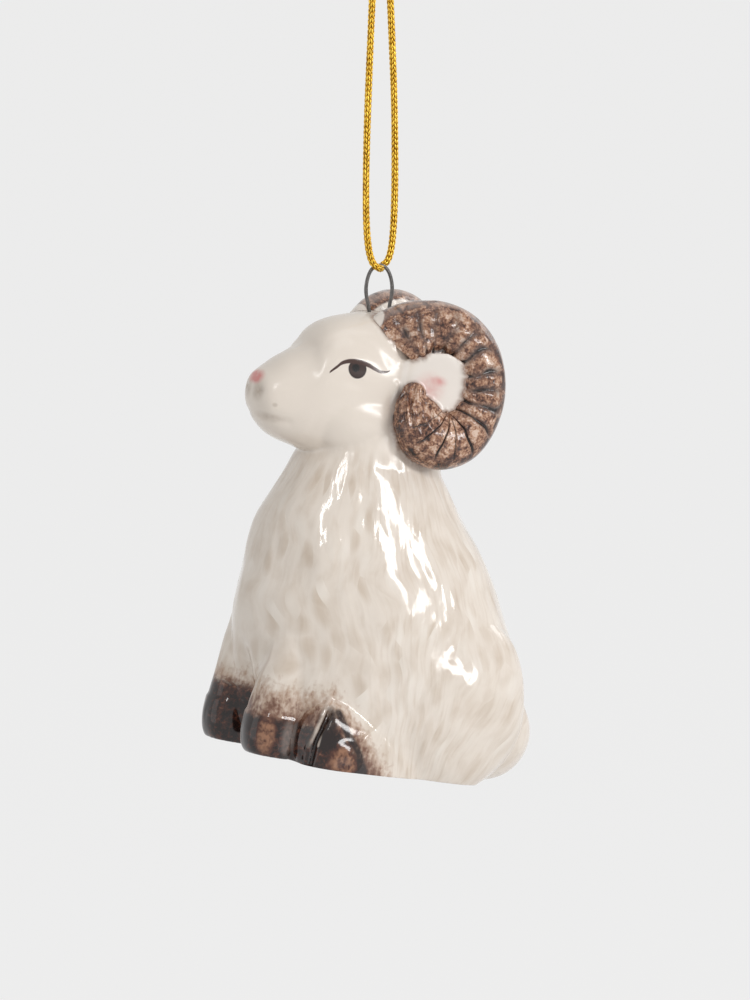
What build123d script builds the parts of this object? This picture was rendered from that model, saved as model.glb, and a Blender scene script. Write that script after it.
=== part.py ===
from build123d import *
import math
import os

# A hollow porcelain ram that hangs from a gold cord, in millimetres.
# The ram is modelled upright: its flat base lies on z = 0, it looks along -Y,
# and the cord crosses the wire loop above x = 0, y = 0.
# Last of all the ram is leaned back about that crossing, as it hangs in use.
# The origin of the finished part is where a hook holds the top of the cord loop.

# Whole ornament
pivot_height = 74.0
hanging_lean = 11.5
cord_drop = 60.0
ceramic_wall = 2.8
cut_overrun = 1.0
ring_sides = 24
limb_sides = 18
rows_per_span = 2
mass_bands = 9

# Body casting
body_height = 44.8
body_half_length = 23.1
body_half_width = 16.2
body_setback = 12.3
body_squareness = 2.15
body_floor = 3.0
slip_pool = 3.0
vent_bore = 5.0
# height, setback, half length and half width of each level
body_shares = (
    (0.000, 0.93, 0.830, 0.880),
    (0.155, 0.99, 0.955, 0.975),
    (0.330, 0.93, 1.000, 1.000),
    (0.490, 0.75, 0.965, 0.965),
    (0.615, 0.64, 0.885, 0.905),
    (0.745, 0.50, 0.785, 0.815),
    (0.865, 0.39, 0.660, 0.700),
    (1.000, 0.30, 0.500, 0.585),
)

# Haunches and tail, low on the body casting
haunch_half_length = 14.0
haunch_half_width = 7.6
haunch_half_height = 14.5
haunch_spread = 9.6
haunch_setback = 18.0
haunch_centre_height = 11.5
tail_half_length = 5.6
tail_half_width = 5.0
tail_half_height = 7.2
tail_setback = 32.6
tail_centre_height = 7.4

# Forelegs
foreleg_spread = 5.0
foreleg_reach = 13.2
foreleg_half_length = 5.6
foreleg_half_width = 4.7
foreleg_height = 33.0
foreleg_setback = 9.0
foreleg_squareness = 2.4
# height, setback and girth of each level
foreleg_shares = (
    (0.00, 0.07, 0.93),
    (0.04, 0.02, 0.98),
    (0.13, 0.00, 1.00),
    (0.27, 0.02, 0.93),
    (0.50, 0.12, 0.98),
    (0.75, 0.40, 1.02),
    (1.00, 1.10, 0.80),
)

# Hind feet, which lie forward along the base beside the forelegs
hind_foot_spread = 11.9
hind_foot_reach = 5.0
hind_foot_length = 20.0
hind_foot_half_width = 4.7
hind_foot_height = 10.4
hind_foot_squareness = 2.6
# distance back, girth and height of each level
hind_foot_shares = (
    (0.00, 0.40, 0.52),
    (0.05, 0.72, 0.84),
    (0.16, 0.96, 0.99),
    (0.34, 1.00, 1.00),
    (0.60, 0.92, 0.86),
    (0.85, 0.70, 0.60),
    (1.00, 0.40, 0.30),
)

# Clefts of the hooves
cleft_width = 1.1
cleft_depth = 1.5
fore_cleft_height = 6.0
hind_cleft_height = 9.0

# Head casting
head_length = 27.5
head_height = 22.5
head_half_width = 8.0
head_reach = 17.7
crown_height = 67.5
head_squareness = 2.2
# distance back from the nose, top, bottom and half width of each section
head_shares = (
    (0.000, 0.550, 0.685, 0.20),
    (0.020, 0.490, 0.755, 0.42),
    (0.060, 0.440, 0.830, 0.56),
    (0.131, 0.372, 0.902, 0.67),
    (0.200, 0.318, 0.935, 0.76),
    (0.258, 0.235, 0.952, 0.84),
    (0.295, 0.160, 0.962, 0.88),
    (0.353, 0.092, 0.978, 0.93),
    (0.462, 0.035, 0.985, 0.985),
    (0.644, 0.000, 0.970, 1.00),
    (0.790, 0.020, 0.910, 0.93),
    (0.913, 0.120, 0.780, 0.74),
    (1.000, 0.330, 0.560, 0.30),
)
# height above the neck joint, setback, half length and half width of the nape
nape_height = 14.0
nape_shares = (
    (0.00, 1.00, 1.00, 1.00),
    (0.33, 1.05, 0.88, 0.92),
    (0.70, 1.00, 0.70, 0.78),
    (1.00, 0.90, 0.46, 0.55),
)
# half length and half height of the skull's hollow, before its wall is taken off
hollow_length_share = 0.43
hollow_height_share = 0.41
# height above the neck joint, half length and half width of the throat's passage
throat_height = 13.0
throat_shares = (
    (0.00, 1.00, 1.00),
    (0.46, 0.82, 0.88),
    (1.00, 0.60, 0.64),
)

# Horns: a flattened spiral round each ear
horn_centre_setback = 7.3
horn_centre_height = 58.3
horn_reach_length = 7.8
horn_reach_height = 9.4
horn_start_angle = 143.0
horn_tip_angle = -172.0
horn_full_spread = 10.2
horn_band_radius = 3.75
horn_side_radius = 3.3
horn_rib_count = 18
horn_groove_depth = 0.34
horn_crest_share = 0.78
horn_sides = 14
horn_tangent_share = 0.01
# side spread, reach from the spiral's centre and girth, each evenly spaced from root to tip
horn_spread_shares = (0.30, 0.58, 0.80, 0.94, 1.00, 1.00, 0.98, 0.95, 0.92)
horn_reach_shares = (0.90, 0.91, 0.98, 1.00, 1.00, 0.97, 0.80, 0.57, 0.42)
horn_girth_shares = (0.98, 0.98, 1.00, 1.00, 1.02, 1.14, 1.30, 1.02, 0.48)

# Ears: cupped leaves inside the horn curls
ear_root_spread = 7.0
ear_root_setback = 2.8
ear_root_height = 59.7
ear_length = 11.0
ear_half_width = 4.7
ear_half_thickness = 0.9
ear_flare_angle = 20.0
ear_droop_angle = 6.0
ear_cup_depth = 1.2
ear_sides = 12
# distance out from the root and girth of each section
ear_shares = (
    (0.00, 0.42),
    (0.22, 0.74),
    (0.50, 1.00),
    (0.78, 0.82),
    (0.94, 0.46),
    (1.00, 0.16),
)

# Hanger: a wire loop whose ends were pressed into the clay of the head
wire_diameter = 0.75
wire_bury = 3.0
loop_half_width = 2.28
loop_length = 7.6
loop_foot_share = 0.66
# half width and drop below the crown of each corner of the wire loop
loop_shares = (
    (0.36, 0.00),
    (0.84, 0.20),
    (1.06, 0.56),
    (0.70, 0.96),
)

# Cord, and how the wire and the cord are rounded where they turn
cord_diameter = 1.35
crown_gap = 0.10
tube_sides = 8
arc_run_share = 0.45

# Knot at the top of the cord
knot_diameter = 4.2
knot_height = 4.6
knot_waist = 3.0
knot_belly_share = 0.3
tail_length = 9.0
tail_lean = 12.0

# The cord's route from the knot, round under the wire's crown and back, chosen by hand
cord_route = (
    (0.34, -0.68, -0.05),
    (1.18, -2.64, -31.0),
    (1.54, -3.30, -46.0),
    (1.58, -3.20, -54.5),
    (1.58, -2.40, -58.8),
    (1.42, -0.62, -60.0),
    (-1.42, 0.62, -60.0),
    (-1.58, 2.20, -58.9),
    (-1.54, 2.88, -54.6),
    (-1.50, 3.12, -45.0),
    (-1.20, 2.70, -29.0),
    (-0.34, 0.68, -0.05),
)


def ring(frame, half_width, half_height, squareness=2.0, sides=ring_sides):
    """The corners of a rounded outline in the frame's plane."""
    corners = []
    for side in range(sides):
        turn = 2 * math.pi * side / sides
        across = math.copysign(abs(math.cos(turn)) ** (2 / squareness), math.cos(turn))
        along = math.copysign(abs(math.sin(turn)) ** (2 / squareness), math.sin(turn))
        corners.append(frame.from_local_coords(Vector(half_width * across, half_height * along)))
    return corners


def level_ring(height, setback, half_length, half_width):
    """A ring of the trunk, lying flat at one height."""
    return ring(Plane((0, setback, height)), half_width, half_length, body_squareness)


def faceted_loft(rings):
    """A loft of flat facets through rings of corners, shut by its first and last ring."""
    facets = [rings[0], rings[-1]]
    for low, high in zip(rings, rings[1:]):
        for side in range(len(low)):
            after = (side + 1) % len(low)
            facets.append((low[side], low[after], high[after]))
            facets.append((low[side], high[after], high[side]))
    return Solid(Shell([make_face(Polyline(*corners, close=True)) for corners in facets]))


def rounded_mass(spread, setback, height, half_width, half_length, half_height):
    """An egg-shaped mass about one centre, through level rings."""
    rings = []
    for band in range(mass_bands):
        rise = math.pi * ((band + 0.5) / mass_bands - 0.5)
        level = Plane((spread, setback, height + half_height * math.sin(rise)))
        rings.append(ring(level, half_width * math.cos(rise), half_length * math.cos(rise)))
    return faceted_loft(rings)


def curve_value(before, start, end, after, part):
    """The value part of the way from start to end, on a smooth curve that also follows their neighbours."""
    bend = 2 * before - 5 * start + 4 * end - after
    swing = 3 * start - before - 3 * end + after
    return start + part * (end - before + part * (bend + part * swing)) / 2


def smooth_rows(table):
    """A table's rows with more of them in between, on a smooth curve through them all."""
    padded = (table[0], *table, table[-1])
    rows = []
    for neighbours in zip(padded, padded[1:], padded[2:], padded[3:]):
        for step in range(rows_per_span):
            part = step / rows_per_span
            rows.append([curve_value(*values, part) for values in zip(*neighbours)])
    rows.append(table[-1])
    return rows


def blend(shares, progress):
    """The value a share of the way along an evenly spaced table."""
    place = progress * (len(shares) - 1)
    before = min(int(place), len(shares) - 2)
    return shares[before] + (shares[before + 1] - shares[before]) * (place - before)


def both_sides(piece):
    """The piece and its mirror image across the ram's middle plane."""
    return piece + mirror(piece, about=Plane.YZ)


def fitted(piece, *neighbours):
    """The piece cut to seat against its neighbours, without the crumbs that the cuts leave."""
    for neighbour in neighbours:
        piece = piece - neighbour
    return piece.solids().sort_by(SortBy.VOLUME)[-1]


def soft_path(points):
    """Straight runs joined by arcs, each as large as its two runs allow."""
    spots = [Vector(*point) for point in points]
    radii = []
    for before, corner, after in zip(spots, spots[1:], spots[2:]):
        turn = math.radians((corner - before).get_angle(after - corner))
        shorter = min((corner - before).length, (after - corner).length)
        radii.append(arc_run_share * shorter / math.tan(turn / 2))
    return FilletPolyline(*spots, radius=radii), radii


def tube(path, diameter):
    """A rod of many flat sides swept along a path."""
    start = Plane(origin=path @ 0, z_dir=path % 0)
    return sweep(start * RegularPolygon(diameter / 2, tube_sides), path=path)


def body_form(floor=0.0, inset=0.0, pool=0.0):
    """The trunk from a floor level to the neck joint, drawn in by an inset and a pool of slip."""
    rings = []
    for height, setback, length, width in smooth_rows(body_shares):
        rings.append(
            level_ring(
                floor + (body_height - floor) * height,
                body_setback * setback - pool / 2,
                body_half_length * length - inset - pool / 2,
                body_half_width * width - inset,
            )
        )
    return faceted_loft(rings)


def foreleg():
    """The left foreleg: hoof, pastern and the shaft that runs up into the chest."""
    front = foreleg_half_length - foreleg_reach
    rings = []
    for height, setback, girth in smooth_rows(foreleg_shares):
        level = Plane((foreleg_spread, front + foreleg_setback * setback, foreleg_height * height))
        half_width = foreleg_half_width * girth
        half_length = foreleg_half_length * girth
        rings.append(ring(level, half_width, half_length, foreleg_squareness, limb_sides))
    return faceted_loft(rings)


def hind_foot():
    """The left hind foot, a long wedge along the base with the hoof in front."""
    rings = []
    for back, girth, height in smooth_rows(hind_foot_shares):
        half_width = hind_foot_half_width * girth
        half_height = hind_foot_height * height
        section = Plane(
            (hind_foot_spread, back * hind_foot_length - hind_foot_reach, 0),
            x_dir=(1, 0, 0),
            z_dir=(0, 1, 0),
        )
        rings.append(ring(section, half_width, half_height, hind_foot_squareness, limb_sides))
    return faceted_loft(rings)


def cleft(spread, front, height):
    """The wedge that parts the two toes of a hoof."""
    mouth = [
        (spread - cleft_width / 2, front - cut_overrun),
        (spread + cleft_width / 2, front - cut_overrun),
        (spread, front + cleft_depth),
    ]
    return extrude(make_face(Polyline(*mouth, close=True)), height)


def body_outside():
    """The whole outer form of the body casting, standing on its flat base."""
    form = body_form()
    form += both_sides(
        rounded_mass(
            haunch_spread,
            haunch_setback,
            haunch_centre_height,
            haunch_half_width,
            haunch_half_length,
            haunch_half_height,
        )
    )
    form += both_sides(foreleg())
    form += both_sides(hind_foot())
    form += rounded_mass(
        0, tail_setback, tail_centre_height, tail_half_width, tail_half_length, tail_half_height
    )
    form -= both_sides(cleft(foreleg_spread, -foreleg_reach, fore_cleft_height))
    form -= both_sides(cleft(hind_foot_spread, -hind_foot_reach, hind_cleft_height))
    return split(form, bisect_by=Plane.XY, keep=Keep.TOP)


def body_casting(outside):
    """The hollow trunk, open at the neck joint and vented through the base."""
    vent = Pos(0, body_setback) * Cylinder(vent_bore / 2, 2 * (body_floor + cut_overrun))
    return outside - body_form(body_floor, ceramic_wall, slip_pool) - vent


def neck_joint():
    """Setback, half length and half width of the body casting where the head is joined on."""
    height, setback, length, width = body_shares[-1]
    return body_setback * setback, body_half_length * length, body_half_width * width


def skull_form():
    """The egg-shaped skull and muzzle, through upright sections."""
    rings = []
    for back, top, bottom, width in smooth_rows(head_shares):
        section = Plane(
            (0, back * head_length - head_reach, crown_height - head_height * (top + bottom) / 2),
            x_dir=(1, 0, 0),
            z_dir=(0, 1, 0),
        )
        half_height = head_height * (bottom - top) / 2
        rings.append(ring(section, head_half_width * width, half_height, head_squareness))
    return faceted_loft(rings)


def nape_form():
    """The back of the neck, from the neck joint up into the skull."""
    setback, half_length, half_width = neck_joint()
    rings = []
    for height, back, length, width in smooth_rows(nape_shares):
        level = body_height + nape_height * height
        rings.append(
            level_ring(level, setback * back, half_length * length, half_width * width)
        )
    return faceted_loft(rings)


def head_outside():
    """The outer form of the head over the neck joint."""
    form = skull_form() + nape_form()
    return split(form, bisect_by=Plane.XY.offset(body_height), keep=Keep.TOP)


def head_hollow():
    """The passage up the throat and the hollow of the skull."""
    setback, half_length, half_width = neck_joint()
    rings = []
    for height, length, width in throat_shares:
        rings.append(
            level_ring(
                body_height + throat_height * height,
                (setback - slip_pool / 2) * length,
                (half_length - ceramic_wall - slip_pool / 2) * length,
                (half_width - ceramic_wall) * width,
            )
        )
    skull = rounded_mass(
        0,
        head_length / 2 - head_reach,
        crown_height - head_height / 2,
        head_half_width - ceramic_wall,
        head_length * hollow_length_share - ceramic_wall,
        head_height * hollow_height_share - ceramic_wall,
    )
    return faceted_loft(rings) + skull


def head_casting(outside, hanger):
    """The hollow head, open at the neck joint, with the two wire holes in its crown."""
    return outside - hanger - head_hollow()


def horn_spot(progress):
    """A point on the horn's centre line, from the root at 0 to the tip at 1."""
    turn = horn_start_angle + (horn_tip_angle - horn_start_angle) * progress
    reach = blend(horn_reach_shares, progress)
    return Vector(
        horn_full_spread * blend(horn_spread_shares, progress),
        horn_centre_setback + horn_reach_length * reach * math.cos(math.radians(turn)),
        horn_centre_height + horn_reach_height * reach * math.sin(math.radians(turn)),
    )


def horn_ring(place, sink):
    """The corners of the horn's outline at a place counted in ribs, drawn in by the groove's sink."""
    progress = place / horn_rib_count
    forward = horn_spot(progress + horn_tangent_share) - horn_spot(progress - horn_tangent_share)
    section = Plane(horn_spot(progress), x_dir=(1, 0, 0), z_dir=forward)
    girth = blend(horn_girth_shares, progress)
    side = (horn_side_radius - sink) * girth
    band = (horn_band_radius - sink) * girth
    corners = []
    for corner in range(horn_sides):
        turn = 2 * math.pi * corner / horn_sides
        spot = Vector(side * math.cos(turn), band * math.sin(turn))
        corners.append(section.from_local_coords(spot))
    return corners


def horn():
    """The left horn before it is fitted: ribs that rise to a crest and drop into a groove."""
    rings = [horn_ring(0, horn_groove_depth)]
    for rib in range(horn_rib_count):
        rings.append(horn_ring(rib + horn_crest_share, 0))
        rings.append(horn_ring(rib + 1, horn_groove_depth))
    return faceted_loft(rings)


def leaf_section(frame, half_thickness, half_width, cup):
    """The corners of a crescent across the ear: its edges stand out past its middle by the cup's depth."""
    corners = []
    for side in range(ear_sides):
        turn = 2 * math.pi * side / ear_sides
        out = half_thickness * math.cos(turn) + cup * math.sin(turn) ** 2
        corners.append(frame.from_local_coords(Vector(out, half_width * math.sin(turn))))
    return corners


def ear():
    """The left ear before it is fitted: a leaf cupped towards its outer face."""
    flare = math.radians(ear_flare_angle)
    droop = math.radians(ear_droop_angle)
    root = Plane(
        (ear_root_spread, ear_root_setback, ear_root_height),
        x_dir=(math.cos(flare), -math.sin(flare), 0),
        z_dir=(math.sin(flare), math.cos(flare), -math.sin(droop)),
    )
    sections = []
    for out, girth in smooth_rows(ear_shares):
        sections.append(
            leaf_section(
                root.offset(ear_length * out),
                ear_half_thickness,
                ear_half_width * girth,
                ear_cup_depth * girth,
            )
        )
    return faceted_loft(sections)


def hanger_wire():
    """The wire loop, plumb when the ram hangs, with its feet down in the head."""
    crown = cord_diameter / 2 + wire_diameter / 2 + crown_gap
    half = [(0, loop_half_width * width, crown - loop_length * drop) for width, drop in loop_shares]
    half.append((0, loop_half_width * loop_foot_share, crown - loop_length - wire_bury))
    front = [(x, -y, z) for x, y, z in reversed(half)]
    path, _ = soft_path(front + half)
    upright = Pos(0, 0, pivot_height) * Rotation(hanging_lean, 0, 0)
    return upright * tube(path, wire_diameter)


def hanging_cord():
    """The gold cord, both strands, from the knot round under the wire's crown and back."""
    path, radii = soft_path(cord_route)
    cord = tube(path, cord_diameter)
    section = RegularPolygon(cord_diameter / 2, tube_sides).area
    print("cord radii", [round(radius, 2) for radius in radii])
    print("cord length", round(path.length, 2))
    print("cord volume ratio", round(cord.volume / (path.length * section), 4))
    return cord


def cord_knot():
    """The knot that closes the cord loop, with its two cut ends."""
    profile = make_face(
        Polyline(
            (0, 0),
            (knot_waist / 2, 0),
            (knot_diameter / 2, knot_height * knot_belly_share),
            (knot_diameter / 2, knot_height * (1 - knot_belly_share)),
            (knot_waist / 2, knot_height),
            (0, knot_height),
            close=True,
        )
    )
    knot = revolve(Plane.XZ * profile, axis=Axis.Z)
    for way in (-1, 1):
        root = Pos(0, way * cord_diameter / 2, knot_height - cord_diameter)
        end = extrude(RegularPolygon(cord_diameter / 2, tube_sides), tail_length)
        knot += root * Rotation(-way * tail_lean, 0, 0) * end
    return knot


def hang(piece):
    """Lean a piece back about the cord crossing and bring it down under the hook."""
    return Pos(0, 0, -cord_drop) * Rotation(-hanging_lean, 0, 0) * Pos(0, 0, -pivot_height) * piece


def main():
    """Model every piece, hang the ram from its cord and write one file for each piece."""
    hanger = hanger_wire()
    trunk = body_outside()
    skull = head_outside()
    blank = horn()
    left_horn = fitted(blank, skull, trunk)
    right_horn = fitted(mirror(blank, about=Plane.YZ), skull, trunk)
    ram = {
        "body_casting": body_casting(trunk),
        "head_casting": head_casting(skull, hanger),
        "horn_left": left_horn,
        "horn_right": right_horn,
        "ear_left": fitted(ear(), skull, left_horn),
        "ear_right": fitted(mirror(ear(), about=Plane.YZ), skull, right_horn),
        "hanger_wire": hanger,
    }
    pieces = {name: hang(piece) for name, piece in ram.items()}
    pieces["hanging_cord"] = hanging_cord()
    pieces["cord_knot"] = cord_knot()
    os.makedirs("parts", exist_ok=True)
    for name, piece in pieces.items():
        solids = piece.solids()
        print(name, len(solids), "solids", round(piece.volume, 1))
        export_step(piece, f"parts/{name}.step")


main()
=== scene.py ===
"""A glazed porcelain ram that hangs from a gold cord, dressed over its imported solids."""

import logging
import math
from collections.abc import Sequence
from dataclasses import dataclass, field
from enum import Enum
from itertools import product

import bpy
import numpy as np
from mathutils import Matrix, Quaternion, Vector, noise
from mathutils.bvhtree import BVHTree

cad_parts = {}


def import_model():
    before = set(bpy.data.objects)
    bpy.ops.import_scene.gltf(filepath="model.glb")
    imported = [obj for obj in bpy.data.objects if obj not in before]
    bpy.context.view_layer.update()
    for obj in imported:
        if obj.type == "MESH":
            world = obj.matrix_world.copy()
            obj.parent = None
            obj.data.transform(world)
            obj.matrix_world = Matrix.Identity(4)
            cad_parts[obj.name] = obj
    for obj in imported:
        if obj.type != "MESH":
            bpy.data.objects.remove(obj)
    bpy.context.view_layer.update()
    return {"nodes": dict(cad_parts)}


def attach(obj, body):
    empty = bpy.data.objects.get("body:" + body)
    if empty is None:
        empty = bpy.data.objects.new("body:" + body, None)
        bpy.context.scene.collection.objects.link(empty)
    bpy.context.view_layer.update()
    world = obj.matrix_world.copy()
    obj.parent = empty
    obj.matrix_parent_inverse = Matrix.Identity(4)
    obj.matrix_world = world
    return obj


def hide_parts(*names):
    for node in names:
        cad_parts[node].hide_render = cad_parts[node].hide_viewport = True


LOG = logging.getLogger("ram")
MM = 0.001
LATTICE_FACTORS = (73856093, 19349663, 83492791)
SEED_FACTOR = 2654435761
STIR_FACTOR = 1274126177
FLEECE_RADIUS = 13.0
FLEECE_LEAN = 0.2


class Slot(Enum):
    """The record's material slots."""

    CREAM = "cream_glaze"
    HORN = "horn_glaze"
    WIRE = "dark_wire"
    GOLD = "gold_cord"


class Side(Enum):
    """The ram's two sides, as signs of X."""

    LEFT = 1
    RIGHT = -1


def paint(red: int, green: int, blue: int) -> tuple[float, float, float, float]:
    """A display colour, 0 to 255, as the linear colour that a shader takes.

    Args:
        red: Red, 0 to 255.
        green: Green, 0 to 255.
        blue: Blue, 0 to 255.

    Returns:
        Linear red, green, blue and an alpha of 1.
    """
    linear = []
    for part in (red, green, blue):
        share = part / 255
        linear.append(share / 12.92 if share <= 0.04045 else ((share + 0.055) / 1.055) ** 2.4)
    return linear[0], linear[1], linear[2], 1.0


def smooth_step(low: float, high: float, values: np.ndarray) -> np.ndarray:
    """A soft step over an array, 0 at low and 1 at high."""
    share = np.clip((values - low) / (high - low), 0, 1)
    return share * share * (3 - 2 * share)


def eased(table: Sequence, places: np.ndarray) -> np.ndarray:
    """Reads an evenly spaced table along a smooth curve through its values or rows.

    Args:
        table: The values or rows of values, evenly spaced from place 0 to place 1.
        places: Where to read it, from 0 to 1.

    Returns:
        One value or row for each place.
    """
    rows = np.array(table, dtype=float)
    knots = np.concatenate((rows[:1] * 2 - rows[1:2], rows, rows[-1:] * 2 - rows[-2:-1]))
    spot = np.clip(places, 0, 1) * (len(rows) - 1)
    first = np.minimum(spot.astype(int), len(rows) - 2)
    part = (spot - first).reshape((-1,) + (1,) * (rows.ndim - 1))
    before, start, end, after = (knots[first + step] for step in range(4))
    bend = 2 * before - 5 * start + 4 * end - after
    swing = 3 * start - before - 3 * end + after
    return start + 0.5 * part * (end - before + part * (bend + part * swing))


def lattice_noise(places: np.ndarray, seed: int = 0) -> np.ndarray:
    """Smooth noise from -1 to 1, with cells one unit wide.

    Args:
        places: Points in three columns.
        seed: Another seed gives another field.

    Returns:
        One value for each point.
    """
    cell = np.floor(places).astype(np.int64)
    part = places - cell
    part = part * part * part * (part * (part * 6 - 15) + 10)
    total = np.zeros(len(places))
    for corner in product((0, 1), repeat=3):
        spot = cell + np.array(corner)
        mixed = seed * SEED_FACTOR
        for axis, factor in enumerate(LATTICE_FACTORS):
            mixed = (spot[:, axis] * factor) ^ mixed
        mixed = ((mixed ^ (mixed >> 13)) * STIR_FACTOR) & 0xFFFFFFFF
        value = ((mixed ^ (mixed >> 15)) & 0xFFFF) / 32767.5 - 1
        weight = np.prod(np.where(np.array(corner) == 1, part, 1 - part), axis=1)
        total += value * weight
    return total


def dab(points: np.ndarray, centre: Sequence[float], reach: Sequence[float]) -> np.ndarray:
    """A soft mound, 1 at its centre and on its mirror image, fading to 0 about one reach away.

    Args:
        points: Points in upright millimetres.
        centre: Its middle.
        reach: Its half sizes.

    Returns:
        Its strength at each point.
    """
    off = (points - np.array(centre)) / np.array(reach)
    twin = (points * (-1, 1, 1) - np.array(centre)) / np.array(reach)
    return np.exp(-2 * np.minimum((off**2).sum(axis=1), (twin**2).sum(axis=1)))


def stroke(points: np.ndarray, route: Sequence[Sequence[float]], reach: float) -> np.ndarray:
    """A soft line through a few points, on both sides: 1 on it, fading to 0 about one reach away.

    Args:
        points: Points in upright millimetres.
        route: The points that it runs through.
        reach: How far it fades, in millimetres.

    Returns:
        Its strength at each point.
    """
    folded = np.concatenate((np.abs(points[:, :1]), points[:, 1:]), axis=1)
    nearest = np.full(len(points), 1e9)
    for start, end in zip(np.array(route[:-1]), np.array(route[1:])):
        run = end - start
        share = np.clip((folded - start) @ run / (run @ run), 0, 1)
        nearest = np.minimum(nearest, ((folded - start - share[:, None] * run) ** 2).sum(axis=1))
    return np.exp(-2 * nearest / reach**2)


@dataclass(frozen=True)
class Hanging:
    """How the upright ram, in millimetres, comes to hang under its hook, in metres."""

    pivot_height: float = 74.0
    lean: float = 11.5
    cord_drop: float = 60.0

    def to_row(self, points: np.ndarray) -> np.ndarray:
        """Upright millimetres to the row's metres.

        Args:
            points: Upright millimetres in three columns.

        Returns:
            The same places in metres.
        """
        turn = math.radians(-self.lean)
        side, back, height = points[:, 0], points[:, 1], points[:, 2] - self.pivot_height
        hung_back = back * math.cos(turn) - height * math.sin(turn)
        hung_height = back * math.sin(turn) + height * math.cos(turn) - self.cord_drop
        return np.stack((side, hung_back, hung_height), axis=1) * MM

    def to_ram(self, points: np.ndarray) -> np.ndarray:
        """The row's metres to upright millimetres.

        Args:
            points: Metres in three columns.

        Returns:
            The same places in millimetres.
        """
        turn = math.radians(self.lean)
        side, back, height = points[:, 0] / MM, points[:, 1] / MM, points[:, 2] / MM + self.cord_drop
        stood_back = back * math.cos(turn) - height * math.sin(turn)
        stood_height = back * math.sin(turn) + height * math.cos(turn) + self.pivot_height
        return np.stack((side, stood_back, stood_height), axis=1)

    def shader_shift(self) -> tuple[float, float, float]:
        """What a shader adds after turning the row's millimetres upright."""
        turn = math.radians(self.lean)
        return 0.0, -self.cord_drop * math.sin(turn), self.cord_drop * math.cos(turn) + self.pivot_height


class Signal:
    """A number, vector or colour that runs through nodes; numbers take part in sums."""

    def __init__(self, nodes: "Nodes", socket: bpy.types.NodeSocket) -> None:
        """Wraps one output socket of a tree of nodes."""
        self.nodes = nodes
        self.socket = socket

    def _maths(self, operation: str, *values: "Signal | float") -> "Signal":
        """Adds one Math node and returns its result."""
        inputs = dict(enumerate(values))
        return self.nodes.signal("ShaderNodeMath", {"operation": operation}, inputs)

    def __add__(self, other: "Signal | float") -> "Signal":
        """This plus other."""
        return self._maths("ADD", self, other)

    __radd__ = __add__

    def __sub__(self, other: "Signal | float") -> "Signal":
        """This less other."""
        return self._maths("SUBTRACT", self, other)

    def __rsub__(self, other: "Signal | float") -> "Signal":
        """Other less this."""
        return self._maths("SUBTRACT", other, self)

    def __mul__(self, other: "Signal | float") -> "Signal":
        """This times other."""
        return self._maths("MULTIPLY", self, other)

    __rmul__ = __mul__

    def __truediv__(self, other: "Signal | float") -> "Signal":
        """This over other."""
        return self._maths("DIVIDE", self, other)

    def __abs__(self) -> "Signal":
        """The size of this, without its sign."""
        return self._maths("ABSOLUTE", self)

    def above(self, other: "Signal | float") -> "Signal":
        """The larger of this and other."""
        return self._maths("MAXIMUM", self, other)

    def below(self, other: "Signal | float") -> "Signal":
        """The smaller of this and other."""
        return self._maths("MINIMUM", self, other)

    def bearing(self, other: "Signal | float") -> "Signal":
        """The angle whose tangent is this over other, all the way round."""
        return self._maths("ARCTAN2", self, other)

    def root(self) -> "Signal":
        """The square root."""
        return self._maths("SQRT", self)

    def fraction(self) -> "Signal":
        """The part after the decimal point."""
        return self._maths("FRACT", self)

    def step(self, low: float, high: float) -> "Signal":
        """A soft step, 0 at low and 1 at high.

        Args:
            low: Where it is 0.
            high: Where it is 1.

        Returns:
            The step.
        """
        settings = {"interpolation_type": "SMOOTHSTEP"}
        inputs = {"Value": self, "From Min": low, "From Max": high}
        return self.nodes.signal("ShaderNodeMapRange", settings, inputs)


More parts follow.
